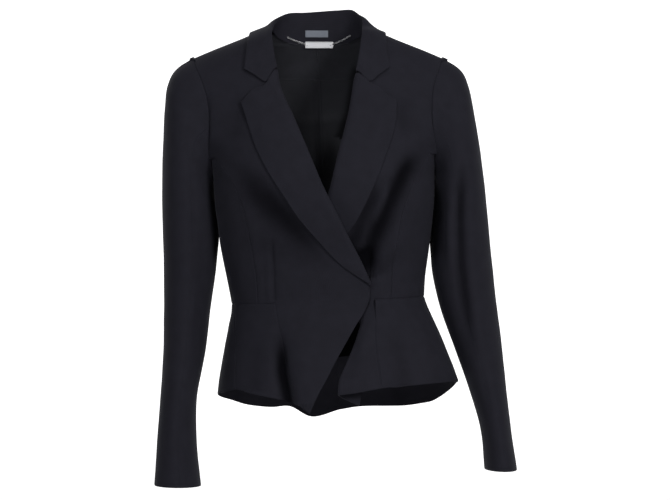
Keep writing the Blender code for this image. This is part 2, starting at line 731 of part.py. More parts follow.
def refined(points):
    """The points of a line with one more between each two, on a smooth curve."""
    line = [Vector(point) for point in points]
    result = []
    for k in range(len(line) - 1):
        before = line[k - 1] if k else line[0] * 2 - line[1]
        after = line[k + 2] if k + 2 < len(line) else line[-1] * 2 - line[-2]
        result.append(line[k])
        result.append((line[k] + line[k + 1]) * 0.5625 - (before + after) * 0.0625)
    return result + [line[-1]]


def fold_core(rows):
    """For a folded sheet: the point between its two layers that is nearest."""
    cores = []
    for row in rows:
        cores.append((row[2] + row[4]) / 2 + (row[3] - (row[2] + row[4]) / 2) * -1.2)
        cores.append((row[1] + row[5]) / 2)
        cores.append((row[0] + row[6]) / 2)
        cores.append(row[7] + (row[0] - row[7]).normalized() * 0.1 + (row[1] - row[5]) * 0.5)
        cores.append(row[8] + (row[1] - row[5]) * 0.5)
    return lambda point: min(cores, key=lambda core: (core - point).length)


def shoulder_tree():
    """Points over the shoulders with their normals, for finding the nearest one."""
    places = []
    for level in np.arange(27.0, -75.0, -2.5):
        for bearing in np.arange(-178.0, 180.0, 2.0):
            place = (float(bearing), float(level))
            places.append((body_point(*place), body_normal(*place)))
    tree = KDTree(len(places))
    for k, (point, _) in enumerate(places):
        tree.insert(point, k)
    tree.balance()
    return tree, places


def off_body(point, lift, tree, places):
    """Moves a point that lies in or near the body out to this height over it."""
    for _ in range(3):
        near, index, _ = tree.find(point)
        normal = places[index][1]
        height = (point - near).dot(normal)
        if height < lift:
            point = point + normal * (lift - height)
    return point


def make_collar(collection, cloth):
    count = len(COLLAR)
    tree, places = shoulder_tree()
    stations = [[Vector(p) for p in row] for row in COLLAR]
    rows = []
    for k, (seam, roll, edge) in enumerate(stations):
        before, after = stations[max(0, k - 1)][1], stations[min(count - 1, k + 1)][1]
        along = (after - before).normalized()
        to_seam = (seam - roll).normalized()
        to_edge = (edge - roll).normalized()
        nose = -(to_seam + to_edge).normalized()
        nose = (nose - along * nose.dot(along)).normalized()
        apart = along.cross(nose)
        if apart.dot(to_edge - to_seam) < 0:
            apart = -apart
        inner = roll - nose * 2.0 - apart * 2.0
        outer = roll - nose * 2.0 + apart * 2.0
        row = [seam, seam.lerp(inner, 0.5), inner, roll, outer]
        for share in (0.34, 0.67, 1.0):
            row.append(off_body(outer.lerp(edge, share), 4.0, tree, places))
        rows.append(row)
    for row, notch in ((rows[0], COLLAR_NOTCH_RIGHT), (rows[-1], COLLAR_NOTCH_LEFT)):
        bearing, level = front_place(*notch)
        row[5] = body_point(bearing, level, 2.9)
        row[6] = (row[5] + row[7]) / 2

    def core(point):
        row = min(rows, key=lambda row: min((p - point).length for p in row))
        return (row[1] + row[5]) / 2 if (point - row[3]).length > 4 else (row[2] + row[4]) / 2

    make_sheet("collar", rows, cloth, collection, core, gap=0.1)
    return stations


def make_back_lining(collection, cloth, lining):
    lining_levels = tuple(level for level in LEVELS_UPPER if level <= -45)
    for side, word in ((-1, "right"), (1, "left")):
        rows = back_rows(side, -LINING_DEPTH, (20, 10, 0, -20, -45))
        rows = [row[4:] for row in rows]
        make_sheet("neck_facing_" + word, rows, cloth, collection, body_axis, thickness=LINING)
        rows = back_rows(side, -LINING_DEPTH, lining_levels)
        rows += peplum_back_rows(side, -LINING_DEPTH)[1:-3]
        make_sheet("lining_back_" + word, rows, lining, collection, body_axis, thickness=LINING)


def stand_point(stations, x, z):
    """A point on the neck side of the collar's stand with this x and z."""
    back = [row for row in stations if row[0].y > 0]
    seam_y = np.interp(x, [row[0].x for row in back], [row[0].y for row in back])
    seam_z = np.interp(x, [row[0].x for row in back], [row[0].z for row in back])
    top_y = np.interp(x, [row[1].x for row in back], [row[1].y for row in back]) - 2.0
    return Vector((x, seam_y + (top_y - seam_y) * (z - seam_z) / STAND_HEIGHT, z))


def make_neck_trim(collection, label, metal, stations):
    left, right, low, high = NECK_LABEL
    rows = []
    for z in (high, low):
        row = []
        for x in spread(left, right, 4):
            row.append(stand_point(stations, x, z) + Vector((0, -0.9, 0)))
        rows.append(row)
    make_sheet("neck_label", rows, label, collection, lambda p: Vector((p.x, 80, p.z)),
               thickness=0.5)

    bpy.ops.mesh.primitive_cube_add(size=1, location=Vector(PLATE_CENTRE) * MM)
    plate = bpy.context.active_object
    plate.name = "hanger_plate"
    plate.scale = Vector(PLATE_SIZE) * MM
    bpy.ops.object.transform_apply(location=False, rotation=False, scale=True)
    bevel = plate.modifiers.new("rounded_edges", "BEVEL")
    bevel.width = 0.4 * MM
    bevel.segments = 2
    plate.data.materials.append(metal)
    for other in plate.users_collection:
        other.objects.unlink(plate)
    collection.objects.link(plate)

    for word, start, end, ahead in CHAINS:
        curve = bpy.data.curves.new("hanger_chain_" + word, "CURVE")
        curve.dimensions = "3D"
        curve.bevel_depth = CHAIN_WIDTH / 2 * MM
        curve.bevel_resolution = 1
        curve.use_fill_caps = True
        line = curve.splines.new("POLY")
        line.points.add(5)
        for k, point in enumerate(line.points):
            share = k / 5
            x = start[0] + (end[0] - start[0]) * share
            z = start[1] + (end[1] - start[1]) * share - CHAIN_SAG * math.sin(math.pi * share)
            place = stand_point(stations, x, max(z, STAND_FOOT))
            place.y += ahead - CHAIN_LIFT_AT_PLATE * share
            place.z = z
            point.co = (*(place * MM), 1.0)
        chain = bpy.data.objects.new("hanger_chain_" + word, curve)
        curve.materials.append(metal)
        collection.objects.link(chain)


main()
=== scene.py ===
import math

import bmesh
import bpy
import numpy as np
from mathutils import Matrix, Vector, noise
from mathutils.kdtree import KDTree


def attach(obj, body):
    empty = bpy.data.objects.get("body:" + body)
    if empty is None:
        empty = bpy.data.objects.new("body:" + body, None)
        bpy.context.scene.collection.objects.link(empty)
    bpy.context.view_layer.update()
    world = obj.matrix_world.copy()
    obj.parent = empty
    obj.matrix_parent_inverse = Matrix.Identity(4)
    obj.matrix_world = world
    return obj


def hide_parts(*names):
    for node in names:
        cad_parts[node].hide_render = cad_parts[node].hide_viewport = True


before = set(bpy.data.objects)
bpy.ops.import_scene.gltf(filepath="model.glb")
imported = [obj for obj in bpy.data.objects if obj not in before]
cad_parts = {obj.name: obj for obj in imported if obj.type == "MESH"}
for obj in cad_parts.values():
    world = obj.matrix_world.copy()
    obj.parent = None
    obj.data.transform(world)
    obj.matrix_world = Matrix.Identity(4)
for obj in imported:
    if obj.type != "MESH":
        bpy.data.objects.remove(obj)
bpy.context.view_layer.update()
mm = 0.001

# the view: level, from straight ahead, 3.5 m away
view = {"x": 25.5, "z": -307.0, "distance": 3500.0, "lens": 125.4, "farthest": 40.0,
        "rounds": (4, 40)}


def makeCamera():
    camera = bpy.data.objects.new("camera", bpy.data.cameras.new("camera"))
    camera.data.lens = view["lens"]
    camera.data.clip_end = view["farthest"]
    camera.location = (view["x"] * mm, -view["distance"] * mm, view["z"] * mm)
    camera.rotation_euler = (math.radians(90), 0, 0)
    bpy.context.scene.collection.objects.link(camera)
    bpy.context.scene.camera = camera


studio = {
    "floorHeight": -1.25, "floorAhead": 4.0, "wallDistance": 2.6, "halfWidth": 6.0, "bend": 1.2,
    "paperLength": 12.0, "paperSteps": 40, "glowRise": 0.35, "wallGlow": 0.85,
    "paper": {"Base Color": (0.74, 0.74, 0.74, 1), "Roughness": 0.9, "Specular IOR Level": 0.1,
              "Emission Color": (1, 1, 1, 1)},
    "world": {"Color": (1.0, 1.0, 1.0, 1), "Strength": 0.2},
    # name, place, aim, size, power, colour
    "lights": [
        ("key", (1.9, -2.9, 0.8), (0.1, 0.0, -0.4), 0.9, 72.0, (1.0, 0.99, 0.98)),
        ("fill", (-0.8, -3.3, 0.9), (0.0, 0.0, -0.2), 1.4, 42.0, (0.98, 0.99, 1.0)),
        ("top", (0.2, -0.9, 2.2), (0.0, 0.0, 0.0), 1.2, 14.0, (1.0, 1.0, 1.0)),
        ("behind", (-1.6, 2.2, 1.6), (0.0, 0.0, -0.3), 1.6, 22.0, (1.0, 1.0, 1.0)),
    ],
}


def setInputs(tree, node, inputs):
    # an input gets a value, or a link when a socket is given
    for key, value in inputs.items():
        if isinstance(value, bpy.types.NodeSocket):
            tree.links.new(value, node.inputs[key])
        else:
            node.inputs[key].default_value = value


def addNode(tree, kind, inputs, output=0, **settings):
    node = tree.nodes.new("ShaderNode" + kind)
    for key, value in settings.items():
        setattr(node, key, value)
    setInputs(tree, node, inputs)
    return node.outputs[output]


def newMaterial(name):
    material = bpy.data.materials.new(name)
    material.use_nodes = True
    return material, material.node_tree, material.node_tree.nodes["Principled BSDF"]


def meshObject(name, shape, material):
    mesh = bpy.data.meshes.new(name)
    shape.to_mesh(mesh)
    shape.free()
    mesh.materials.append(material)
    obj = bpy.data.objects.new(name, mesh)
    bpy.context.scene.collection.objects.link(obj)
    return obj


def palePaper():
    # the wall glows, the floor doesn't
    material, tree, shader = newMaterial("pale_paper")
    place = addNode(tree, "TexCoord", {}, "Object")
    glow = addNode(tree, "MapRange", {
        "Value": addNode(tree, "SeparateXYZ", {"Vector": place}, "Z"), "From Min": studio["floorHeight"],
        "From Max": studio["floorHeight"] + studio["glowRise"], "To Max": studio["wallGlow"]})
    setInputs(tree, shader, {**studio["paper"], "Emission Strength": glow})
    return material


def makeStudio():
    # a sheet of pale paper: floor, bend and wall
    shape = bmesh.new()
    bmesh.ops.create_grid(shape, x_segments=1, y_segments=studio["paperSteps"], size=0.5)
    straight, radius = studio["wallDistance"] + studio["floorAhead"], studio["bend"]
    quarter = radius * math.pi / 2
    for vert in shape.verts:
        along = (vert.co.y + 0.5) * studio["paperLength"]
        if along < straight:
            y, z = along - studio["floorAhead"], 0.0
        elif along < straight + quarter:
            turn = (along - straight) / radius
            y = studio["wallDistance"] + radius * math.sin(turn)
            z = radius * (1 - math.cos(turn))
        else:
            y, z = studio["wallDistance"] + radius, radius + along - straight - quarter
        vert.co = (vert.co.x * 2 * studio["halfWidth"], y, studio["floorHeight"] + z)
    for face in shape.faces:
        face.smooth = True
    meshObject("paper_floor", shape, palePaper())
    world = bpy.data.worlds.new("studio_air")
    world.use_nodes = True
    setInputs(world.node_tree, world.node_tree.nodes["Background"], studio["world"])
    bpy.context.scene.world = world
    for name, place, aim, size, power, colour in studio["lights"]:
        lamp = bpy.data.lights.new(name, "AREA")
        lamp.shape = "DISK"
        lamp.size = size
        lamp.energy = power
        lamp.color = colour
        obj = bpy.data.objects.new(name, lamp)
        obj.location = place
        obj.rotation_euler = (Vector(aim) - Vector(place)).to_track_quat("-Z", "Y").to_euler()
        bpy.context.scene.collection.objects.link(obj)
    bpy.context.scene.view_settings.view_transform = "Standard"
    bpy.context.scene.view_settings.look = "None"


# the form of the jacket, as the solids have it, in millimetres
form = {
    "roundness": 2.3, "neckHalfWidth": 72.0, "waist": -382.0, "underarm": -200.0, "princessTop": -168.0,
    # the highest level, where the shoulder closes, the depth that takes the whole bust, the peplum's flare
    "top": 27.0, "ridge": 26.5, "bustDepth": 40, "flareDepth": 140, "flarePower": 1.3, "farBelow": -600,
    # level, centre x, half width, front depth, back depth, shoulder slope, sideways slope
    "sections": np.array([
        (27, 0.0, 188.0, 0, 0, 0.405, 0), (26, 0.0, 191.0, 9, 9, 0.405, 0),
        (20, 0.0, 203.0, 23, 21, 0.4, 0), (10, 0.0, 215.0, 35, 32, 0.387, 0),
        (0, 0.0, 223.0, 43, 42, 0.37, 0), (-20, 0.5, 224.0, 53, 59, 0.32, 0),
        (-45, 1.5, 216.0, 63, 74, 0.25, 0), (-70, 3.0, 202.0, 74, 86, 0.16, 0.004),
        (-96, 4.0, 191.0, 82, 94, 0.08, 0.008), (-122, 5.0, 183.5, 93, 99, 0.03, 0.012),
        (-147, 6.0, 177.0, 102, 102, 0, 0.016), (-168, 7.5, 171.5, 109, 104, 0, 0.02),
        (-184, 8.5, 168.0, 113, 105, 0, 0.022), (-200, 9.25, 165.75, 116, 106, 0, 0.024),
        (-220, 9.7, 165.0, 117, 106, 0, 0.026), (-243, 10.25, 163.75, 116, 105, 0, 0.028),
        (-265, 10.8, 161.0, 112, 102, 0, 0.03), (-290, 11.0, 158.3, 106, 98.5, 0, 0.032),
        (-318, 12.0, 154.0, 99, 94, 0, 0.034), (-350, 12.8, 148.2, 93, 89, 0, 0.038),
        (-382, 15.0, 144.0, 90, 86, 0, 0.04), (-396, 17.0, 147.0, 93, 90, 0, 0.04),
        (-412, 18.8, 152.3, 98, 96, 0, 0.04), (-430, 21.3, 158.0, 103, 102, 0, 0.04),
        (-450, 23.8, 164.0, 108, 109, 0, 0.04), (-475, 26.7, 171.0, 114, 117, 0, 0.04),
        (-505, 30.3, 179.3, 121, 127, 0, 0.04), (-530, 32.0, 182.0, 125, 133, 0, 0.04),
        (-575, 32.5, 183.0, 127, 137, 0, 0.04),
    ]),
    # bearing in degrees from the front, level, reach, width in degrees, height
    "bust": [(-36.0, -218.0, 11.0, 21.0, 46.0), (36.0, -218.0, 11.0, 21.0, 46.0)],
    # bearing, depth at the hem, width in degrees
    "flutes": [
        (-24.0, -9.0, 8.0), (-44.0, 4.0, 12.0), (26.0, -5.0, 8.0), (46.0, 5.0, 13.0), (-108.0, 4.0, 13.0),
        (-134.0, -6.0, 13.0), (-158.0, 4.0, 12.0), (180.0, 6.0, 13.0), (156.0, -6.0, 12.0),
        (130.0, 6.0, 13.0),
    ],
    # distance of the armhole from the centre at each level, from the top down
    "armhole": (187.0, 186.5, 185.0, 182.5, 180.0, 174.5, 169.5, 166.5, 165.0, 165.0, 165.5, 166.0,
                165.8, 165.75),
    "peplumSteps": (0.0, 0.1, 0.22, 0.36, 0.52, 0.68, 0.84, 1.0),
    "seamGap": -0.3, "shoulderGap": 0.35, "cloth": 1.2, "lining": 1.0,
}
waist, farBelow = form["waist"], form["farBelow"]
levels = tuple(int(row[0]) for row in form["sections"] if row[0] >= waist)
sideWord = {-1: "Right", 1: "Left"}


def sectionAt(level):
    levels = form["sections"][::-1, 0]
    return [float(np.interp(level, levels, form["sections"][::-1, k])) for k in range(1, 7)]


def bodyPoint(bearing, level, lift=0.0):
    if lift:
        return bodyPoint(bearing, level) + bodyNormal(bearing, level) * float(lift)
    centre, halfWidth, front, back, slope, sideways = sectionAt(level)
    angle = math.radians(bearing)
    power = 2 / form["roundness"]
    across = math.copysign(abs(math.sin(angle)) ** power, math.sin(angle))
    ahead = math.copysign(abs(math.cos(angle)) ** power, math.cos(angle))
    depth = front if ahead > 0 else back
    x, y = halfWidth * across, -depth * ahead
    for bustBearing, bustLevel, reach, width, height in form["bust"]:
        fall = ((bearing - bustBearing) / width) ** 2 + ((level - bustLevel) / height) ** 2
        y -= reach * math.exp(-fall / 2) * min(1.0, depth / form["bustDepth"])
    below = max(0.0, waist - level) / form["flareDepth"]
    if below:
        reach = 0.0
        for fluteBearing, depthAtHem, width in form["flutes"]:
            turn = (bearing - fluteBearing + 180) % 360 - 180
            reach += depthAtHem * below ** form["flarePower"] * math.exp(-((turn / width) ** 2) / 2)
        grow = 1 + reach / math.hypot(x, y)
        x, y = x * grow, y * grow
    z = level - slope * max(0.0, abs(x + centre) - form["neckHalfWidth"]) + sideways * x
    return Vector((x + centre, y, z))


def bodyNormal(bearing, level):
    if level > form["ridge"]:
        flat = bodyPoint(bearing + 0.5, level) - bodyPoint(bearing - 0.5, level)
        return flat.cross(Vector((0, 1, 0))).normalized() * (1 if flat.x > 0 else -1)
    around = bodyPoint(bearing + 0.8, level) - bodyPoint(bearing - 0.8, level)
    down = bodyPoint(bearing, level - 3) - bodyPoint(bearing, min(form["top"], level + 3))
    return down.cross(around).normalized()


def bearingOfShare(share):
    share = max(-1.0, min(1.0, share))
    return math.degrees(math.asin(math.copysign(abs(share) ** (form["roundness"] / 2), share)))


def frontPlace(x, z):
    # bearing and level of what is seen at x, z from the front
    trueX, trueZ = x, z
    for _ in range(view["rounds"][0]):
        level = trueZ
        for _ in range(view["rounds"][1]):
            centre, _, _, _, slope, sideways = sectionAt(level)
            level = trueZ + slope * max(0.0, abs(trueX) - form["neckHalfWidth"]) - sideways * (trueX - centre)
            level = min(form["top"], level)
        centre, halfWidth = sectionAt(level)[:2]
        bearing = bearingOfShare((trueX - centre) / halfWidth)
        scale = (view["distance"] + bodyPoint(bearing, level).y) / view["distance"]
        trueX = view["x"] + (x - view["x"]) * scale
        trueZ = view["z"] + (z - view["z"]) * scale
    return bearing, level


def guide(points):
    # a seam line seen from the front, as a function from level to bearing
    places = []
    for x, z in points:
        bearing, level = frontPlace(x, z)
        share = abs(math.sin(math.radians(bearing))) ** (2 / form["roundness"])
        places.append((level, math.copysign(share, bearing)))
    places.sort()
    levels, shares = zip(*places)
    return lambda level: bearingOfShare(float(np.interp(level, levels, shares)))


def guideOfTable(table):
    rows = np.array(sorted(map(tuple, table)))
    return lambda level: float(np.interp(level, rows[:, 0], rows[:, 1]))


def bearingAt(distance, level, side, back=False):
    bearing = bearingOfShare(abs(distance) / sectionAt(level)[1])
    return side * (180 - bearing if back else bearing)


def armholeGuide(side, back=False):
    distances = form["armhole"][::-1]
    heights = levels[len(distances) - 1::-1]
    return lambda level: bearingAt(np.interp(level, heights, distances), level, side, back)


def spread(start, end, count):
    return [start + (end - start) * k / count for k in range(count + 1)]


def easeBetween(low, high, value):
    share = np.clip((value - low) / (high - low), 0.0, 1.0)
    return share * share * (3 - 2 * share)


def treeOf(points):
    tree = KDTree(len(points))
    for k, point in enumerate(points):
        tree.insert(point, k)
    tree.balance()
    return tree


def bodyAxis(point):
    height = point[2] - 8 if point[2] > -60 else point[2]
    return Vector((sectionAt(min(form["top"], point[2]))[0], 4.0, height))


# from a few rows of points to a fine sheet of cloth
fineness = {
    "step": 3.0, "leastStep": 0.45, "edgeRows": (0.6, 1.4, 2.4), "edgeDip": 0.75, "edgeReach": 2.2,
    "ripples": [(45.0, 0.38), (19.0, 0.16)],   # wave and height of the cloth's small unevenness
    "hollowDepth": 10.5,                        # a fold as deep as this is fully in shade
}


def slopesAlong(params, values, sharp):
    step = np.diff(params)[:, None, None]
    rise = np.diff(values, axis=0) / step
    slopes = np.empty_like(values)
    slopes[0], slopes[-1] = rise[0], rise[-1]
    if len(values) < 3:
        return slopes
    before, after = step[:-1], step[1:]
    if not sharp:
        slopes[1:-1] = (after * rise[:-1] + before * rise[1:]) / (before + after)
        return slopes
    same = rise[:-1] * rise[1:] > 0
    first, second = np.where(same, rise[:-1], 1.0), np.where(same, rise[1:], 1.0)
    weightA, weightB = 2 * after + before, after + 2 * before
    slopes[1:-1] = np.where(same, (weightA + weightB) / (weightA / first + weightB / second), 0.0)
    return slopes


def finerAlong(values, step, sharp, borders):
    lengths = np.linalg.norm(np.diff(values, axis=0), axis=2).mean(axis=1) + 1e-4
    params = np.concatenate([[0.0], np.cumsum(lengths)])
    targets = list(params)
    for low, high in zip(params, params[1:]):
        count = max(1, math.ceil((high - low) / step))
        targets += [low + (high - low) * k / count for k in range(1, count)]
    for border in borders:
        for distance in fineness["edgeRows"]:
            targets += [params[border] - distance, params[border] + distance]
    kept = []
    for target in sorted(t for t in targets if 0 <= t <= params[-1]):
        isKnot = np.abs(params - target).min() < 1e-6
        if not kept or target - kept[-1] > fineness["leastStep"]:
            kept.append(target)
        elif isKnot:
            kept[-1] = target
    kept[0], kept[-1] = 0.0, params[-1]
    kept = np.array(kept)
    slopes = slopesAlong(params, values, sharp)
    index = np.clip(np.searchsorted(params, kept, "right") - 1, 0, len(params) - 2)
    span = (params[index + 1] - params[index])[:, None, None]
    t = (kept - params[index])[:, None, None] / span
    fine = (values[index] * (1 + 2 * t) * (1 - t) ** 2 + slopes[index] * span * t * (1 - t) ** 2
            + values[index + 1] * t * t * (3 - 2 * t) + slopes[index + 1] * span * t * t * (t - 1))
    return fine, index


def finerSheet(points, step, sharp=(False, False), borders=((0, -1), (0, -1))):
    values = np.array([[tuple(p) for p in row] for row in points], float)
    values, rowOf = finerAlong(values, step, sharp[0], borders[0])
    values, columnOf = finerAlong(values.transpose(1, 0, 2), step, sharp[1], borders[1])
    return values.transpose(1, 0, 2), rowOf, columnOf


def sheetNormals(grid, outward):
    across, down = np.gradient(grid, axis=1), np.gradient(grid, axis=0)
    normals = np.cross(down, across)
    normals /= np.maximum(np.linalg.norm(normals, axis=2, keepdims=True), 1e-9)
    sample = [(i, j) for i in range(2, len(grid) - 2, 7) for j in range(1, len(grid[0]) - 1, 5)]
    total = sum(float(np.dot(normals[i, j], outward(grid[i, j]))) for i, j in sample)
    return normals if total > 0 else -normals


def fromAxis(point):
    return np.array(point) - np.array(bodyAxis(point))


def seenFromFront(grid):
    scale = view["distance"] / (view["distance"] + grid[..., 1])
    return np.stack([view["x"] + (grid[..., 0] - view["x"]) * scale,
                     view["z"] + (grid[..., 2] - view["z"]) * scale], axis=-1)


def reliefOf(places, folds):
    # folds: line of (x, z), half width, height (negative for a trough), fade at the start and at the end
    relief = np.zeros(places.shape[:-1])
    for line, width, height, fadeIn, fadeOut in folds:
        line = np.array(line, float)
        lengths = np.linalg.norm(np.diff(line, axis=0), axis=1)
        total, done = lengths.sum(), 0.0
        nearest, along = np.full(relief.shape, 1e9), np.zeros(relief.shape)
        for k, length in enumerate(lengths):
            direction = (line[k + 1] - line[k]) / length
            t = np.clip((places - line[k]) @ direction, 0, length)
            distance = np.linalg.norm(places - line[k] - t[..., None] * direction, axis=-1)
            closer = distance < nearest
            nearest = np.where(closer, distance, nearest)
            along = np.where(closer, (done + t) / total, along)
            done += length
        fade = easeBetween(0, max(fadeIn, 1e-6), along) * easeBetween(0, max(fadeOut, 1e-6), 1 - along)
        relief += height * fade * np.exp(-((nearest / width) ** 2) / 2)
    return relief


def clothPiece(name, points, material, values, mask=None, outward=fromAxis, sharp=(False, False),
               folds=(), foldSide=None, relief=None, shades=(), thickness=None, step=None):
    rows, columns = len(points) - 1, len(points[0]) - 1
    mask = np.ones((rows, columns), bool) if mask is None else mask
    # a border runs where the mask changes, so rows and columns there are close together
    rowBorders = {0, rows} | {i for i in range(1, rows) if (mask[i] != mask[i - 1]).any()}
    columnBorders = {0, columns} | {j for j in range(1, columns) if (mask[:, j] != mask[:, j - 1]).any()}
    grid, rowOf, columnOf = finerSheet(points, step or fineness["step"], sharp, (rowBorders, columnBorders))
    normals = sheetNormals(grid, outward)
    height = np.zeros(grid.shape[:2])
    if len(folds):
        part = reliefOf(seenFromFront(grid), folds)
        height += part if foldSide is None else part * foldSide(grid)
    if relief is not None:
        height += relief(grid)
    # painted shade: the depth of the folds and the shade-only lines darken the colour, through a point
    # attribute
    darker = reliefOf(seenFromFront(grid), shades) if len(shades) else 0.0
    painted_fold_shade = np.clip(-(height + darker) / fineness["hollowDepth"], 0.0, 1.0)
    for wave, amount in fineness["ripples"]:
        field = [[noise.noise(Vector(p) / wave) for p in row] for row in grid]
        height += np.array(field) * amount * values.get("ripple", 1.0)

    shape = bmesh.new()
    high, wide = grid.shape[0] - 1, grid.shape[1] - 1
    bmesh.ops.create_grid(shape, x_segments=wide, y_segments=high, size=1.0)
    place = {}
    shade = shape.verts.layers.float.new("painted_fold_shade")
    for vert in shape.verts:
        i, j = round((vert.co.y + 1) / 2 * high), round((vert.co.x + 1) / 2 * wide)
        place[vert] = (i, j)
        vert.co = grid[i, j] * mm
        vert[shade] = float(painted_fold_shade[i, j])
    left = []
    for face in shape.faces:
        i = min(place[v][0] for v in face.verts)
        j = min(place[v][1] for v in face.verts)
        if not mask[rowOf[i], columnOf[j]]:
            left.append(face)
    bmesh.ops.delete(shape, geom=left, context="FACES")
    # the cloth turns in at its seams and edges
    border = [v for v in shape.verts if v.is_boundary]
    tree = treeOf([vert.co for vert in border])
    dip = values.get("edgeDip", fineness["edgeDip"])
    shifts = borderShifts(border, values.get("gap", form["seamGap"]) * mm)
    for vert in shape.verts:
        i, j = place[vert]
        distance = tree.find(vert.co)[2] / mm
        lower = dip * max(0.0, 1 - distance / fineness["edgeReach"]) ** 2
        vert.co += Vector(normals[i, j]) * float(height[i, j] - lower) * mm
    for vert, shift in shifts:
        vert.co += shift
    # the cloth's own map runs along its rows and columns, in metres
    across = np.linalg.norm(np.diff(grid, axis=1), axis=2).mean(axis=0) * mm
    across = np.concatenate([[0], np.cumsum(across)])
    down = np.linalg.norm(np.diff(grid, axis=0), axis=2).mean(axis=1) * mm
    down = np.concatenate([[0], np.cumsum(down)])
    layer = shape.loops.layers.uv.new("cloth")
    for face in shape.faces:
        face.smooth = True
        for loop in face.loops:
            i, j = place[loop.vert]
            loop[layer].uv = (across[j], down[i])
    shape.normal_update()
    lean = 0.0
    for face in list(shape.faces)[::11]:
        lean += face.normal.dot(Vector(normals[place[face.verts[0]]]))
    if lean < 0:
        bmesh.ops.reverse_faces(shape, faces=shape.faces)
    area = sum(face.calc_area() for face in shape.faces)
    obj = meshObject(name, shape, material)
    wall = obj.modifiers.new("wall", "SOLIDIFY")
    wall.thickness = (thickness or form["cloth"]) * mm
    wall.offset = -1
    node = name.removesuffix("_cloth")
    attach(obj, "root")
    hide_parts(node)
    values.get("held", "hung")
    return obj


def borderShifts(border, gap):
    # each border point moves in, along the cloth, by half a seam's gap
    shifts = []
    for vert in border:
        inward = Vector()
        for edge in vert.link_edges:
            if not edge.is_boundary:
                continue
            face = edge.link_faces[0]
            along = (edge.verts[1].co - edge.verts[0].co).normalized()
            toMiddle = face.calc_center_median() - edge.verts[0].co
            toMiddle -= along * toMiddle.dot(along)
            if toMiddle.length > 1e-9:
                inward += toMiddle.normalized()
        if inward.length > 1e-6:
            shifts.append((vert, inward.normalized() * gap))
    return shifts


# finishes
finishes = {
    # deep: colour left in the deepest fold, as painted shade
    # paintedShadeBelow: painted shade, the heights between which the inside grows darker, and the colour left
    # at the lower one
    "wool": {"colour": (0.0098, 0.0096, 0.0138), "spread": 0.28, "roughness": 0.82, "specular": 0.08,
             "sheen": 0.03, "sheenRoughness": 0.45, "sheenTint": (0.80, 0.82, 1.0), "threads": 1650.0,
             "grain": 620.0, "bump": 0.32, "slub": 55.0, "deep": 0.2, "paintedShadeBelow": None},
    # the same cloth where it faces the neck, with painted light: lighter than the wool outside
    "paintedLightFacingWool": {"colour": (0.0210, 0.0215, 0.0260)},
    "satin": {"colour": (0.0205, 0.0210, 0.0255), "spread": 0.2, "roughness": 0.55, "specular": 0.14,
              "sheen": 0.05, "sheenRoughness": 0.3, "sheenTint": (0.8, 0.95, 1.0), "threads": 2600.0,
              "grain": 900.0, "bump": 0.12, "slub": 40.0, "deep": 0.2, "paintedShadeBelow": (-0.19, -0.38, 0.2)},
    "label": {"colour": (0.112, 0.124, 0.150), "spread": 0.18, "roughness": 0.6, "specular": 0.25,
              "sheen": 0.1, "sheenRoughness": 0.4, "sheenTint": (0.9, 0.95, 1.0), "threads": 2000.0,
              "grain": 900.0, "bump": 0.3, "slub": 60.0, "deep": 1.0, "paintedShadeBelow": None},
    "steel": {"colour": (0.36, 0.36, 0.37), "roughness": (0.7 * 0.28, 1.6 * 0.28), "scratches": 900.0},
}
# what all woven finishes share
weaving = {"wave": {"Distortion": 1.4, "Detail": 1.0, "Detail Scale": 1.3}, "turn": 6.2832,
           "grainShare": 0.45, "slubShare": 0.4, "ends": (0.25, 0.75), "bumpDepth": 0.0003}


def product(tree, first, second):
    return addNode(tree, "Math", {0: first, 1: second}, operation="MULTIPLY")


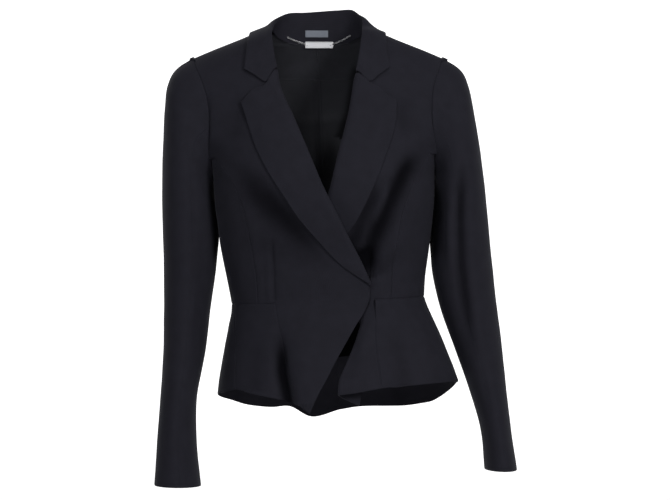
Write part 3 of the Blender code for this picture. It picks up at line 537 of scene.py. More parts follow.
def wovenCloth(name, look):
    material, tree, shader = newMaterial(name)
    uv = addNode(tree, "UVMap", {}, "UV", uv_map="cloth")
    place = addNode(tree, "TexCoord", {}, "Object")
    waves = {"Vector": uv, "Scale": look["threads"] / weaving["turn"], **weaving["wave"]}
    warp, weft = (addNode(tree, "TexWave", waves, "Fac", wave_type="BANDS", bands_direction=direction)
                  for direction in ("X", "Y"))
    weave = addNode(tree, "Math", {0: warp, 1: weft}, operation="MAXIMUM")
    grain = addNode(tree, "TexNoise", {"Vector": place, "Scale": look["grain"], "Detail": 3.0,
                                       "Roughness": 0.6}, "Fac")
    slub = addNode(tree, "TexNoise", {"Vector": place, "Scale": look["slub"], "Detail": 4.0}, "Fac")
    both = addNode(tree, "Mix", {"Factor": weaving["grainShare"], "A": weave, "B": grain}, "Result",
                   data_type="FLOAT")
    tone = addNode(tree, "Mix", {"Factor": weaving["slubShare"], "A": both, "B": slub}, "Result",
                   data_type="FLOAT")
    colour = addNode(tree, "ValToRGB", {"Fac": tone}, "Color")
    strengths = (1 - look["spread"], 1 + look["spread"])
    for element, position, strength in zip(colour.node.color_ramp.elements, weaving["ends"], strengths):
        element.position = position
        element.color = (*(c * strength for c in look["colour"]), 1)
    # painted shade: the bottom of a fold is painted darker, with less specular and sheen
    fold = addNode(tree, "Attribute", {}, "Fac", attribute_name="painted_fold_shade")
    kept = addNode(tree, "MapRange", {"Value": fold, "To Min": 1.0, "To Max": look["deep"]},
                   interpolation_type="SMOOTHSTEP")
    # painted shade: the lining is painted darker towards its lower part, deep inside the jacket
    if look["paintedShadeBelow"]:
        top, bottom, least = look["paintedShadeBelow"]
        height = addNode(tree, "SeparateXYZ", {"Vector": place}, "Z")
        lower = addNode(tree, "MapRange", {"Value": height, "From Min": bottom, "From Max": top,
                                           "To Min": least, "To Max": 1.0}, interpolation_type="SMOOTHSTEP")
        kept = product(tree, kept, lower)
    shaded = addNode(tree, "VectorMath", {"Vector": colour, "Scale": kept}, operation="SCALE")
    bump = addNode(tree, "Bump", {"Strength": look["bump"], "Distance": weaving["bumpDepth"], "Height": both})
    setInputs(tree, shader, {
        "Base Color": shaded, "Roughness": look["roughness"], "Normal": bump,
        "Specular IOR Level": product(tree, kept, look["specular"]),
        "Sheen Weight": product(tree, kept, look["sheen"]), "Sheen Roughness": look["sheenRoughness"],
        "Sheen Tint": (*look["sheenTint"], 1),
    })
    return material


def polishedSteel():
    look = finishes["steel"]
    material, tree, shader = newMaterial("polished_steel_finish")
    place = addNode(tree, "TexCoord", {}, "Object")
    fine = addNode(tree, "TexNoise", {"Vector": place, "Scale": look["scratches"], "Detail": 2.0}, "Fac")
    rough = addNode(tree, "MapRange", {"Value": fine, "To Min": look["roughness"][0],
                                       "To Max": look["roughness"][1]})
    setInputs(tree, shader, {"Base Color": (*look["colour"], 1), "Metallic": 1.0, "Roughness": rough})
    return material


makeCamera()
makeStudio()
wool = wovenCloth("navy_black_wool", finishes["wool"])
# painted light: a lighter copy of the wool for the neck facing
paintedLightFacingWool = wovenCloth("facing_wool", {**finishes["wool"], **finishes["paintedLightFacingWool"]})
satin = wovenCloth("lining_satin", finishes["satin"])
labelCloth = wovenCloth("label_weave", finishes["label"])
steel = polishedSteel()
print("studio and finishes ready")

# seam lines on the front, seen from the front: x, z
seams = {
    "rollOver": [(-72, 26), (-72.5, 10), (-70.5, -8), (-66.5, -26), (-62.8, -42), (-59, -63), (-44.7, -95),
                 (-30.5, -127.5), (-13.5, -168), (4, -210), (40, -282), (62.5, -325.5), (78.5, -357)],
    "edgeOver": [(82, -366), (79.5, -376.5), (70.5, -397.5), (52, -427.5), (33, -461), (16.5, -493.5),
                 (-4, -531), (-14, -552)],
    "lapelRoll": [(-60.3, -37), (-55.5, -63), (-41.5, -95), (-27, -127.5), (-10, -168), (7.5, -210),
                  (26, -247), (43.5, -282), (56, -306), (66, -325.5), (74, -343), (80, -356)],
    "rollUnder": [(72, 26), (72.5, 10), (70, -8), (65, -28), (58, -48), (48.3, -102), (33.5, -160.5),
                  (22, -213), (12.7, -242), (3.5, -268), (-18.5, -318), (-30.5, -341), (-41, -362),
                  (-43, -372)],
    "foldUnder": [(84, 26), (86, 10), (84, -8), (80, -28), (73, -48), (66, -102), (58, -160.5), (56, -213),
                  (66, -268), (72, -318), (77, -360), (77, -376), (74, -391.5), (70.5, -409), (63, -427.5),
                  (52, -454), (42, -478.5), (33, -502.5), (31, -516)],
    "dartRight": [(-110, 10), (-104, -60), (-86, -150), (-74, -245), (-68, -285), (-65, -334.5),
                  (-65, -388), (-63, -400), (-58, -430), (-51, -480), (-43, -529)],
    "dartLeft": [(112, 10), (112, -60), (108, -150), (100, -245), (94, -285), (91, -334.5), (87, -376),
                 (87, -400), (87, -442.5), (93, -487.5), (97, -511)],
    "princessRight": [(-154.5, -168), (-118.5, -232.5), (-109.5, -259.5), (-99, -310.5), (-93, -348),
                      (-91.5, -388)],
    "princessLeft": [(168, -165), (136, -228), (126, -262), (118, -305), (112.5, -340), (111, -377)],
    # level and bearing of the side seams
    "sideRight": [(-200, -90), (-290, -87), (-350, -82), (-382, -77), (-417, -65), (-460, -59), (-530, -52)],
    "sideLeft": [(-200, 90), (-290, 92), (-382, 96), (-460, 99), (-530, 101)],
    # hems: bearing and level
    "hemOver": [(-64, -503), (-52, -504.5), (-35, -515), (-21, -525.5), (-16.4, -530.5), (-11.3, -543)],
    "hemUnder": [(-3, -518), (6, -515), (12, -512), (20, -509), (48, -507), (80, -508), (101, -515)],
    "hemBackRight": [(-52, -504.5), (-70, -510), (-90, -516), (-102.7, -521), (-113, -526.5), (-120, -531),
                     (-125.5, -536.5), (-135, -541.5), (-147, -545.5), (-158.8, -546), (-169.75, -565),
                     (-180, -555.7)],
    "hemBackLeft": [(101, -515), (118, -528.5), (135, -547), (147, -551), (158, -551.5), (172, -551),
                    (180, -555.7)],
    # level and distance of the back neckline from the centre
    "backNeck": [(27, 72.0), (26, 71.0), (20, 66.0), (10, 51.0), (0, 0.0), (-600, 0.0)],
}
lines = {"rollOver": guide(seams["rollOver"] + seams["edgeOver"])}
for name in ("rollUnder", "foldUnder", "dartRight", "dartLeft", "princessRight", "princessLeft"):
    lines[name] = guide(seams[name])
for name in ("sideRight", "sideLeft"):
    lines[name] = guideOfTable(seams[name])


def peplumLevel(hem, bearing, step=1.0):
    # the level at a share of the way from the waist down to the hem
    whole = hem.startswith("hemBack")
    places = sorted((b % 360 if whole else b, v) for b, v in seams[hem])
    value = bearing % 360 if whole else bearing
    return waist + step * (float(np.interp(value, [b for b, _ in places], [v for _, v in places])) - waist)


# the fronts
fronts = {
    "cloth": {"slot": "jacket_cloth"},
    # the under front: its depth, how far past the cover and over what width it rises, where it starts to sink
    "underDepth": 7.6, "underReach": 24, "underFade": 30.0, "underStart": -150, "underSink": 45.0,
    # the roll below the waist: start and end of the drop and of the bend, and how much of each
    "turnedDrop": (440, 520, 18.0), "turnedBend": (385, 430, 9), "turnedDepth": 0.45,
    "turnedShares": (0.0, 0.3, 0.55, 0.75, 0.9), "turnedStart": -400,
    "foldDepths": (-8.0, 25.0),   # how far ahead of the middle the front's folds fade in
    # free edge of the under front below the waist: level, x, distance behind the fold
    "turnedEdge": np.array([
        (-382, -26, 3.5), (-396, 24, 6.0), (-413, 62, 11.0), (-432, 70, 18.0), (-455, 70, 24.0),
        (-478, 68, 28.0), (-500, 64, 31.0), (-522, 60, 33.0),
    ]),
    "foldsOver": [
        ([(-132, -140), (-114, -190), (-98, -225), (-74, -252), (-50, -276), (-12, -306), (25, -336),
          (33, -345)], 15, -6.0, 0.35, 0.6),
        ([(-98, -170), (-84, -205), (-62, -240), (-30, -278), (0, -312), (30, -338)], 12, -2.5, 0.35, 0.5),
        ([(-122, -262), (-96, -292), (-60, -312), (-18, -330), (22, -345)], 15, -2.0, 0.4, 0.4),
        ([(-60, -405), (-56.5, -440), (-54, -490), (-44, -540)], 7.5, -8.5, 0.55, 0.0),
        ([(-71, -275), (-68, -330), (-65.5, -384)], 2.6, -2.2, 0.4, 0.0),
        ([(-24, -420), (-26, -480), (-28, -540)], 14, 3.5, 0.5, 0.0),
        ([(-88, -405), (-92, -460), (-96, -520)], 12, -2.6, 0.5, 0.0),
        ([(-112, -60), (-124, -120), (-130, -170)], 14, -3.0, 0.3, 0.4),
    ],
    "foldsUnder": [
        ([(158, -148), (134, -190), (114, -230), (98, -266), (84, -296), (74, -326), (70, -352)], 11.5, -9.0,
         0.2, 0.15),
        ([(112, -200), (96, -240), (82, -276)], 5.5, 3.0, 0.4, 0.4),
        ([(100, -185), (84, -228), (64, -268), (48, -300), (46, -330)], 8.0, -6.0, 0.35, 0.15),
        ([(62, -300), (66, -330), (72, -352)], 13.0, -5.0, 0.35, 0.0),
        ([(118, -60), (132, -110), (140, -150)], 12, -3.0, 0.35, 0.35),
        ([(128, -300), (108, -330), (84, -352)], 9, -2.4, 0.4, 0.3),
        ([(66, -412), (56, -450), (48, -500)], 9, -2.4, 0.4, 0.0),
        ([(112, -400), (120, -450), (128, -510)], 12, -2.6, 0.5, 0.0),
    ],
    # painted shade only: these darken the colour and leave the cloth where it is
    "shadesOver": [
        ([(-106, -165), (-80, -203), (-62, -229), (-35, -268), (0, -308), (26, -335)], 10, -2.0, 0.35, 0.3),
        ([(-57, -435), (-54, -490), (-44, -545)], 5.5, -3.5, 0.5, 0.0),
    ],
}
cover = np.array(sorted((z, x) for x, z in seams["lapelRoll"] + seams["edgeOver"]))


def underLift(bearing, level):
    point = bodyPoint(bearing, level)
    covered = np.interp(point.z, cover[:, 0], cover[:, 1]) + fronts["underReach"] - point.x
    share = (easeBetween(0.0, fronts["underFade"], covered)
             * easeBetween(0.0, fronts["underSink"], fronts["underStart"] - level))
    return -fronts["underDepth"] * float(share)


def princessGuide(line, armhole):
    top = form["princessTop"]
    return lambda level: line(level) if level < top else line(top) - armhole(top) + armhole(level)


def frontRows(guides, counts, hem, liftAt):
    placed = []
    for level in levels:
        bearings = []
        for first, last, count in zip(guides, guides[1:], counts):
            run = spread(first(level), last(level), count)
            bearings += run if not bearings else run[1:]
        placed.append([(bearing, level) for bearing in bearings])
    dart = counts[0]
    for step in form["peplumSteps"][1:]:
        row = []
        ends = [guide(farBelow) for guide in guides[:2]]
        first, last = (guide(peplumLevel(hem, end, step)) for guide, end in zip(guides, ends))
        for bearing, atHem in zip(spread(first, last, dart), spread(*ends, dart)):
            row.append((bearing, peplumLevel(hem, atHem, step)))
        # past the dart the rows only run on, to keep the waist seam smooth; they are cut away
        turn = row[-1][0] - placed[len(levels) - 1][dart][0]
        row += [(placed[len(levels) - 1][k][0] + turn, row[-1][1]) for k in range(dart + 1, sum(counts) + 1)]
        placed.append(row)
    points = [[bodyPoint(b, v, liftAt(b, v)) for b, v in row] for row in placed]
    points[0] = [point + Vector((0, -form["shoulderGap"], 0)) for point in points[0]]
    mask = np.ones((len(points) - 1, len(points[0]) - 1), bool)
    mask[len(levels) - 1:, dart:] = False
    mask[levels.index(int(form["princessTop"])):, dart + counts[1]:] = False
    return points, mask


def turnedFront(points):
    # the under front from its free edge to the fold guide; it rolls back inside below the waist
    rows = []
    table = fronts["turnedEdge"][::-1]
    turned = len(fronts["turnedShares"])
    for index, row in enumerate(points):
        fold = row[0]
        if index < len(levels):
            level = levels[index]
            centre, halfWidth = sectionAt(level)[:2]
            here = bearingOfShare((fold.x - centre) / halfWidth)
            run = spread(lines["rollUnder"](level), here, turned)[:turned]
            rows.append([bodyPoint(b, level, underLift(b, level)) for b in run])
            continue
        freeX = np.interp(fold.z, table[:, 0], table[:, 1])
        behind = np.interp(fold.z, table[:, 0], table[:, 2])
        drop, inward = (amount * float(easeBetween(start, end, -fold.z))
                        for start, end, amount in (fronts["turnedDrop"], fronts["turnedBend"]))
        free = Vector((freeX, fold.y + behind, fold.z - drop))
        bend = Vector((fold.x - inward, fold.y + behind * fronts["turnedDepth"], fold.z))
        if fold.z > fronts["turnedStart"]:
            bend = (fold + free) / 2
        rows.append([free * (1 - t) ** 2 + bend * 2 * t * (1 - t) + fold * t ** 2
                     for t in fronts["turnedShares"]])
    return rows


def onFront(grid):
    return easeBetween(*fronts["foldDepths"], -grid[..., 1])


princess = {side: princessGuide(lines["princess" + word], armholeGuide(side))
            for side, word in sideWord.items()}
rows, mask = frontRows((lines["rollOver"], lines["dartRight"], princess[-1], armholeGuide(-1)), (8, 2, 1),
                       "hemOver", lambda b, v: 0.0)
clothPiece("front_right_cloth", rows, wool, fronts["cloth"], mask=mask,
           folds=fronts["foldsOver"], foldSide=onFront, shades=fronts["shadesOver"])
rows, mask = frontRows((lines["foldUnder"], lines["dartLeft"], princess[1], armholeGuide(1)), (4, 2, 1),
                       "hemUnder", underLift)
lead = turnedFront(rows)
rows = [first + row for first, row in zip(lead, rows)]
mask = np.hstack([np.ones((len(mask), len(lead[0])), bool), mask])
clothPiece("front_left_cloth", rows, wool, fronts["cloth"], mask=mask,
           folds=fronts["foldsUnder"] + fronts["foldsOver"][:3], foldSide=onFront)
print("fronts done")

# side fronts, peplum sides and backs
backs = {
    "cloth": {"slot": "jacket_cloth"}, "columns": 12, "foldDepths": (5.0, 35.0),
    # the back, seen through from the front
    "folds": [
        ([(-120, -290), (-80, -330), (-45, -352)], 13, -2.6, 0.35, 0.4),
        ([(140, -285), (100, -325), (64, -350)], 13, -2.6, 0.35, 0.4),
        ([(10, -270), (13, -330), (15, -380)], 22, -3.2, 0.5, 0.0),
        ([(-120, -90), (-132, -150), (-136, -200)], 11, -2.2, 0.4, 0.3),
        ([(128, -90), (142, -150), (148, -200)], 11, -2.2, 0.4, 0.3),
        ([(-60, -420), (-70, -480), (-80, -550)], 11, -3.0, 0.5, 0.0),
        ([(96, -420), (112, -480), (126, -550)], 11, -3.0, 0.5, 0.0),
    ],
}


def onBack(grid):
    return easeBetween(*backs["foldDepths"], grid[..., 1])


def backRows(side, lift=0.0, rowLevels=levels):
    seam = lines["side" + sideWord[side]]
    armhole = armholeGuide(side, back=True)
    neck = np.array(seams["backNeck"])[::-1]
    rows = []
    for level in rowLevels:
        outer = armhole(level) if level > form["underarm"] else seam(level)
        inner = bearingAt(np.interp(level, neck[:, 0], neck[:, 1]), level, side, back=True)
        rows.append([bodyPoint(b, level, lift) for b in spread(outer, inner, backs["columns"])])
    if rowLevels[0] == form["top"]:
        rows[0] = [point + Vector((0, form["shoulderGap"], 0)) for point in rows[0]]
    return rows


def peplumBackRows(side, lift=0.0):
    seam = lines["side" + sideWord[side]]
    hem = "hemBack" + sideWord[side]
    rows = []
    for step in form["peplumSteps"]:
        start = seam(peplumLevel(hem, seam(farBelow), step))
        rows.append([bodyPoint(b, peplumLevel(hem, b, step), lift)
                     for b in spread(start, side * 180.0, backs["columns"])])
    return rows


def sideFrontRows(side):
    line = lines["princess" + sideWord[side]]
    seam = lines["side" + sideWord[side]]
    armhole = armholeGuide(side)
    rows = []
    for level in levels[levels.index(int(form["princessTop"])):]:
        outer = armhole(level) if level > form["underarm"] else seam(level)
        rows.append([bodyPoint(b, level) for b in spread(line(level), outer, 4)])
    return rows


def peplumSideRows(side):
    dart, line, seam = (lines[name + sideWord[side]] for name in ("dart", "princess", "side"))
    hem = "hemOver" if side < 0 else "hemUnder"
    share = (line(waist) - dart(waist)) / (seam(waist) - dart(waist))

    def middle(level):
        return dart(level) + (seam(level) - dart(level)) * share

    rows = []
    for step in form["peplumSteps"]:
        first, second, third = (edge(peplumLevel(hem, edge(farBelow), step)) for edge in (dart, middle, seam))
        bearings = spread(first, second, 2) + spread(second, third, 4)[1:]
        rows.append([bodyPoint(b, peplumLevel(hem, b, step)) for b in bearings])
    return rows


for side, word in ((-1, "right"), (1, "left")):
    sideFolds = fronts["foldsOver" if side < 0 else "foldsUnder"]
    for part, rows, folds, foldSide in (
        ("side_front", sideFrontRows(side), sideFolds, onFront),
        ("peplum_side", peplumSideRows(side), sideFolds, onFront),
        ("back", backRows(side), backs["folds"], onBack),
        ("peplum_back", peplumBackRows(side), backs["folds"], onBack),
    ):
        # painted shade of the trough on the over front carries on over the right peplum side
        shades = fronts["shadesOver"][1:] if part == "peplum_side" and side < 0 else ()
        clothPiece(f"{part}_{word}_cloth", rows, wool, backs["cloth"], folds=folds, foldSide=foldSide,
                   shades=shades)
print("sides and backs done")

# sleeves, each of a top and an under piece
sleeves = {
    "top": {"slot": "jacket_cloth", "gap": -0.3, "edgeDip": 0.4},
    "under": {"slot": "jacket_cloth", "gap": -0.3, "edgeDip": 0.2},
    "capBlend": (0.0, 0.12, 0.3, 0.5, 0.7, 0.86, 0.96),
    "seamPoint": 9, "armholeGap": 0.35, "foldDepths": (-6.0, 14.0),
    # how far the rear of each ring leans towards the body, at the armpit
    "leanRight": (0, 0, 4, 8, 9, 10, 11, 12, 10, 0), "leanLeft": (0, 0, 5, 10, 10, 11, 12, 14, 18, 5),
    # outer x, outer z, inner x, inner z, half depth, centre y
    "right": [
        (-187, -19.6, -157, -200, 50, 2), (-195, -24.5, -157.6, -202, 51, 2),
        (-205, -30.5, -158, -205.5, 53, 2), (-217, -42, -158.4, -211, 55, 2),
        (-226, -62, -158, -217, 57, 2), (-229.5, -92, -157.3, -225, 58.5, 2),
        (-231.5, -130, -156, -236, 60, 2), (-233.5, -185, -153.9, -253, 60, 2),
        (-233.5, -250, -150.2, -285, 59, 4), (-231.5, -320, -152.5, -330, 57, 4),
        (-231, -385, -160, -385, 54.5, 0), (-231.3, -460, -168.5, -460, 51, -9),
        (-235, -530, -180.5, -530, 48, -20), (-239.5, -600, -179.5, -600, 46, -30),
        (-242.5, -655, -173, -656, 45, -37),
    ],
    "left": [
        (185, -19.6, 175.2, -200, 50, 2), (194, -25.5, 176, -202, 51, 2), (204, -31, 176.6, -205.5, 53, 2),
        (216, -42, 177, -211, 55, 2), (225, -62, 177.2, -217, 57, 2), (232, -92, 177, -225, 58.5, 2),
        (239, -130, 176.4, -236, 60, 2), (247, -185, 175.2, -253, 60, 2), (254, -250, 172, -285, 59, 4),
        (260.5, -320, 170.5, -328, 57, 4), (267, -382, 180, -382, 54.5, 0),
        (275.5, -455, 205, -455, 52, -9), (282, -525, 229, -525, 50.5, -20),
        (288.5, -584, 243.5, -583, 50, -30), (295.5, -632, 247, -631, 50, -37),
    ],
    "foldsRight": [
        ([(-190, -150), (-188, -240), (-188, -330), (-190, -400)], 6.5, -1.8, 0.3, 0.3),
        ([(-214, -120), (-217, -220), (-219, -330)], 9, 1.3, 0.3, 0.3),
        ([(-172, -240), (-174, -330), (-182, -430), (-192, -520)], 7, -2.4, 0.3, 0.4),
        ([(-188, -505), (-200, -560), (-206, -640)], 8, -1.2, 0.4, 0.0),
        ([(-182, -520), (-205, -512)], 5, -1.2, 0.4, 0.4),
    ],
    "foldsLeft": [
        ([(186, -95), (203, -82)], 5.5, -2.4, 0.4, 0.5),
        ([(217, -150), (216, -220), (213, -260), (214.5, -320), (219, -368), (226, -425), (233, -485)],
         8, -7.0, 0.25, 0.3),
        ([(199, -210), (197, -280), (199, -345)], 6, 3.2, 0.4, 0.4),
        ([(232, -180), (228, -260), (229, -340), (240, -430), (252, -520)], 8.5, 2.6, 0.3, 0.3),
        ([(243, -460), (252, -520), (262, -585)], 5, -1.4, 0.4, 0.4),
        ([(186, -200), (184, -290), (186, -350)], 6, -2.6, 0.4, 0.4),
    ],
    # painted shade only, in the shelter of the arm
    "shadesRight": [([(-157, -190), (-152, -253), (-149, -290), (-149, -345)], 7, -11.0, 0.25, 0.3)],
    "shadesLeft": [([(175, -190), (173, -253), (170, -290), (171, -345)], 7, -11.0, 0.25, 0.3)],
    # behind, seen through from the front
    "foldsBehind": [
        (-1, [(-200, -300), (-186, -345), (-168, -370)], 8, -3.0, 0.4, 0.4),
        (-1, [(-215, -350), (-198, -392), (-176, -410)], 8, -3.0, 0.4, 0.4),
        (-1, [(-206, -120), (-200, -200), (-196, -260)], 9, -2.2, 0.4, 0.4),
        (1, [(232, -300), (214, -345), (190, -368)], 8, -3.0, 0.4, 0.4),
        (1, [(252, -345), (232, -390), (204, -408)], 8, -3.0, 0.4, 0.4),
        (1, [(222, -120), (218, -200), (214, -260)], 9, -2.2, 0.4, 0.4),
    ],
}


def armholeLoop(side):
    rowLevels = [level for level in levels if level >= form["underarm"]]
    front, back = armholeGuide(side), armholeGuide(side, back=True)
    loop = [bodyPoint(front(level), level) for level in rowLevels]
    return loop + [bodyPoint(back(level), level) for level in rowLevels[-2:0:-1]]


def sleeveSections(side, rings, leans):
    loop = armholeLoop(side)
    count = len(loop)
    top, bottom = loop[0], loop[count // 2]
    axis = top - bottom
    turns = []
    for point in loop:
        along = (point - bottom).dot(axis) / axis.length_squared * 2 - 1
        turns.append(math.atan2(-(point.y - rings[0][5]) / rings[0][4], along))
    turns[0], turns[count // 2] = 0.0, math.pi
    sections, centres = [], []
    firstOuter = Vector((rings[0][0], rings[0][5], rings[0][1]))
    firstInner = Vector((rings[0][2], rings[0][5], rings[0][3]))
    for k, (outerX, outerZ, innerX, innerZ, depth, centreY) in enumerate(rings):
        outer, inner = Vector((outerX, centreY, outerZ)), Vector((innerX, centreY, innerZ))
        share = sleeves["capBlend"][k] if k < len(sleeves["capBlend"]) else 1.0
        ring = []
        for point, turn in zip(loop, turns):
            up = (1 + math.cos(turn)) / 2
            oval = inner + (outer - inner) * up - Vector((0, depth * math.sin(turn), 0))
            moved = point + (outer - firstOuter) * up + (inner - firstInner) * (1 - up)
            moved.x += side * sleeves["armholeGap"]
            place = moved.lerp(oval, share)
            place.x -= side * (leans[k] if k < len(leans) else 0.0) * (1 - up) * max(0.0, -math.sin(turn))
            ring.append(place)
        sections.append(ring)
        centres.append((outer + inner) / 2)
    return sections, centres


for side, word in ((-1, "right"), (1, "left")):
    sections, centres = sleeveSections(side, sleeves[word], sleeves["lean" + sideWord[side]])
    count = len(sections[0])

    def fromSleeveAxis(point, centres=centres):
        nearest = min(centres, key=lambda c: (c - Vector(point)).length)
        return np.array(point) - np.array(nearest)

    def sleeveRelief(grid, word=word, side=side, centres=centres):
        middle = np.interp(grid[..., 2], [c.z for c in centres[::-1]], [c.y for c in centres[::-1]])
        ahead = easeBetween(*sleeves["foldDepths"], middle - grid[..., 1])
        places = seenFromFront(grid)
        foldsBehind = [fold[1:] for fold in sleeves["foldsBehind"] if fold[0] == side]
        front = reliefOf(places, sleeves["folds" + sideWord[side]]) * ahead
        return front + reliefOf(places, foldsBehind) * (1 - ahead)

    def columnsOf(first, last):
        return [[ring[k % count] for k in range(first, last + 1)] for ring in sections]

    seamAt = sleeves["seamPoint"]
    for part, first, last in (("top", -seamAt, seamAt), ("under", seamAt, count - seamAt)):
        clothPiece(f"sleeve_{part}_{word}_cloth", columnsOf(first, last), wool, sleeves[part],
                   outward=fromSleeveAxis, relief=sleeveRelief, shades=sleeves["shades" + sideWord[side]])
print("sleeves done")

# lapels
lapels = {
    "piece": {"slot": "jacket_cloth", "held": "folded", "gap": 0.2, "ripple": 0.7, "edgeDip": 0.5},
    "belly": 2.4,
    "overRoll": seams["lapelRoll"],
    "overEdge": [(-115.5, -85.5), (-108, -108), (-102, -127.5), (-95, -148), (-87, -166.5), (-73, -193),
                 (-57, -217.5), (-30, -258), (6, -300), (30, -325.5), (56, -345), (79, -360)],
    "underRoll": [(56.3, -41.5), (52.5, -56), (49, -80), (45, -102), (38, -131), (30, -160.5), (18, -213),
                  (9, -242), (0, -268), (-22, -318), (-34, -341), (-45, -362)],
    "underEdge": [(118.5, -84), (117.5, -100), (116.5, -114), (112, -134), (106, -153), (93, -189),
                  (82.5, -213), (66, -247.5), (45, -282), (10, -322), (-16, -346), (-46, -366)],
    "overNotch": (-80, -60.5), "underNotch": (78, -57),
    # distance in from the roll line, share of the width, height over the panel
    "section": [(13.0, 0.0, -3.3), (3.0, 0.0, -3.3), (0.8, 0.0, -2.1), (0.0, 0.0, -0.3), (0.8, 0.0, 1.5),
                (3.2, 0.0, 3.0), (3.2, 0.3, 3.0), (1.6, 0.64, 3.0), (0.0, 1.0, 3.0)],
}


def refined(points):
    line = [Vector(point) for point in points]
    result = []
    for k in range(len(line) - 1):
        before = line[k - 1] if k else line[0] * 2 - line[1]
        after = line[k + 2] if k + 2 < len(line) else line[-1] * 2 - line[-2]
        result.append(line[k])
        result.append((line[k] + line[k + 1]) * 0.5625 - (before + after) * 0.0625)
    return result + [line[-1]]


def lapelRows(roll, edge, notch, liftAt):
    rows = []
    roll, edge = refined(roll), refined(edge)
    for k, (inner, outer) in enumerate(zip(roll, edge)):
        along = (roll[min(len(roll) - 1, k + 1)] - roll[max(0, k - 1)]).normalized()
        across = Vector((-along.y, along.x))
        if across.dot(outer - inner) < 0:
            across = -across
        row = []
        for distance, share, lift in lapels["section"]:
            place = inner + (outer - inner) * share + across * distance
            if k == 0 and 0.2 < share < 0.5:
                place = Vector(notch)
            bearing, level = frontPlace(place.x, place.y)
            down = k / (len(roll) - 1)
            belly = lapels["belly"] * math.sin(math.pi * share) * (1 - down) if lift > 2 else 0.0
            row.append(bodyPoint(bearing, level, lift + belly + liftAt(bearing, level)))
        rows.append(row)
    return rows


def crossedLift(bearing, level):
    # under the crossing the left lapel sinks with the folds of the front over it
    place = seenFromFront(np.array([bodyPoint(bearing, level)]))
    return underLift(bearing, level) + float(reliefOf(place, fronts["foldsOver"][:3])[0])


def towardsViewer(point):
    return np.array((0.0, -1.0, 0.0))


for word, roll, edge, notch, liftAt in (
    ("right", "overRoll", "overEdge", "overNotch", lambda b, v: 0.0),
    ("left", "underRoll", "underEdge", "underNotch", crossedLift),
):
    rows = lapelRows(lapels[roll], lapels[edge], lapels[notch], liftAt)
    clothPiece(f"lapel_{word}_cloth", rows, wool, lapels["piece"], outward=towardsViewer,
               sharp=(False, True))
print("lapels done")

# the collar, from the wearer's right notch round the back to the left one
collar = {
    "piece": {"slot": "jacket_cloth", "held": "folded", "gap": 0.1, "ripple": 0.7, "edgeDip": 0.5},
    # neck seam, roll line at the top, outer edge of the leaf
    "stations": [
        ((-60.5, -55, -41), (-59.5, -62, -38), (-109, -58, -39)),
        ((-64.3, -48.5, -24.5), (-64, -57, -18), (-106, -48, -14)),
        ((-68, -39.5, -6), (-67.5, -45, 5), (-104.5, -34, 4)),
        ((-70.2, -27, 12), (-68.5, -31, 19), (-102, -10, 14)),
        ((-68.6, -10, 23), (-67, -13, 29.5), (-100, 4, 17.5)),
        ((-68.6, 5, 27.3), (-63.5, 1, 37.5), (-97, 17, 14)),
        ((-62, 19.3, 18.2), (-56, 17, 45.5), (-86, 37, 5)),
        ((-44.5, 31.6, 9.8), (-43, 35, 52), (-62, 52, -6)),
        ((-23, 38.9, 3.4), (-20, 43.5, 53.5), (-30, 62, -12)),
        ((0, 40.8, 0.9), (4, 46, 55.5), (3, 66, -14)),
        ((23, 38.9, 3.4), (30, 43.5, 57), (36, 62, -12)),
        ((44.5, 31.6, 9.8), (51, 34, 56.5), (68, 52, -5)),
        ((62, 19.3, 18.2), (61.5, 17, 48), (90, 37, 6)),
        ((68.6, 5, 27.3), (68, 1, 41), (98, 17, 17.5)),
        ((68.6, -10, 23), (66.5, -13, 29.5), (99.5, 4, 18)),
        ((70.2, -27, 12), (65.5, -31, 19), (100.5, -10, 14)),
        ((67.5, -39.5, -6), (64, -45, 4), (101.5, -34, 0)),
        ((63.3, -48.5, -26), (60.5, -57, -19), (103.5, -48, -16)),
        ((56.8, -56, -46), (56, -63.4, -42.5), (107, -57, -36)),
    ],
    "notches": ((-78, -55.5), (76.5, -55)), "notchLift": 2.9,
    # how far the stand reaches below its seam, half the roll's thickness, height of the leaf over the panels
    "foot": 4.5, "halfRoll": 2.0, "leafLift": 4.0, "standHeight": 46, "rounds": 3,
    # start, end and step of the levels and bearings at which the shoulders are felt for
    "feltLevels": (27.0, -75.0, -2.5), "feltBearings": (-178.0, 180.0, 2.0),
}


def shoulderTree():
    places = []
    for level in np.arange(*collar["feltLevels"]):
        for bearing in np.arange(*collar["feltBearings"]):
            place = (float(bearing), float(level))
            places.append((bodyPoint(*place), bodyNormal(*place)))
    return treeOf([point for point, _ in places]), places


def offBody(point, lift, tree, places):
    for _ in range(collar["rounds"]):
        near, index, _ = tree.find(point)
        height = (point - near).dot(places[index][1])
        if height < lift:
            point = point + places[index][1] * (lift - height)
    return point


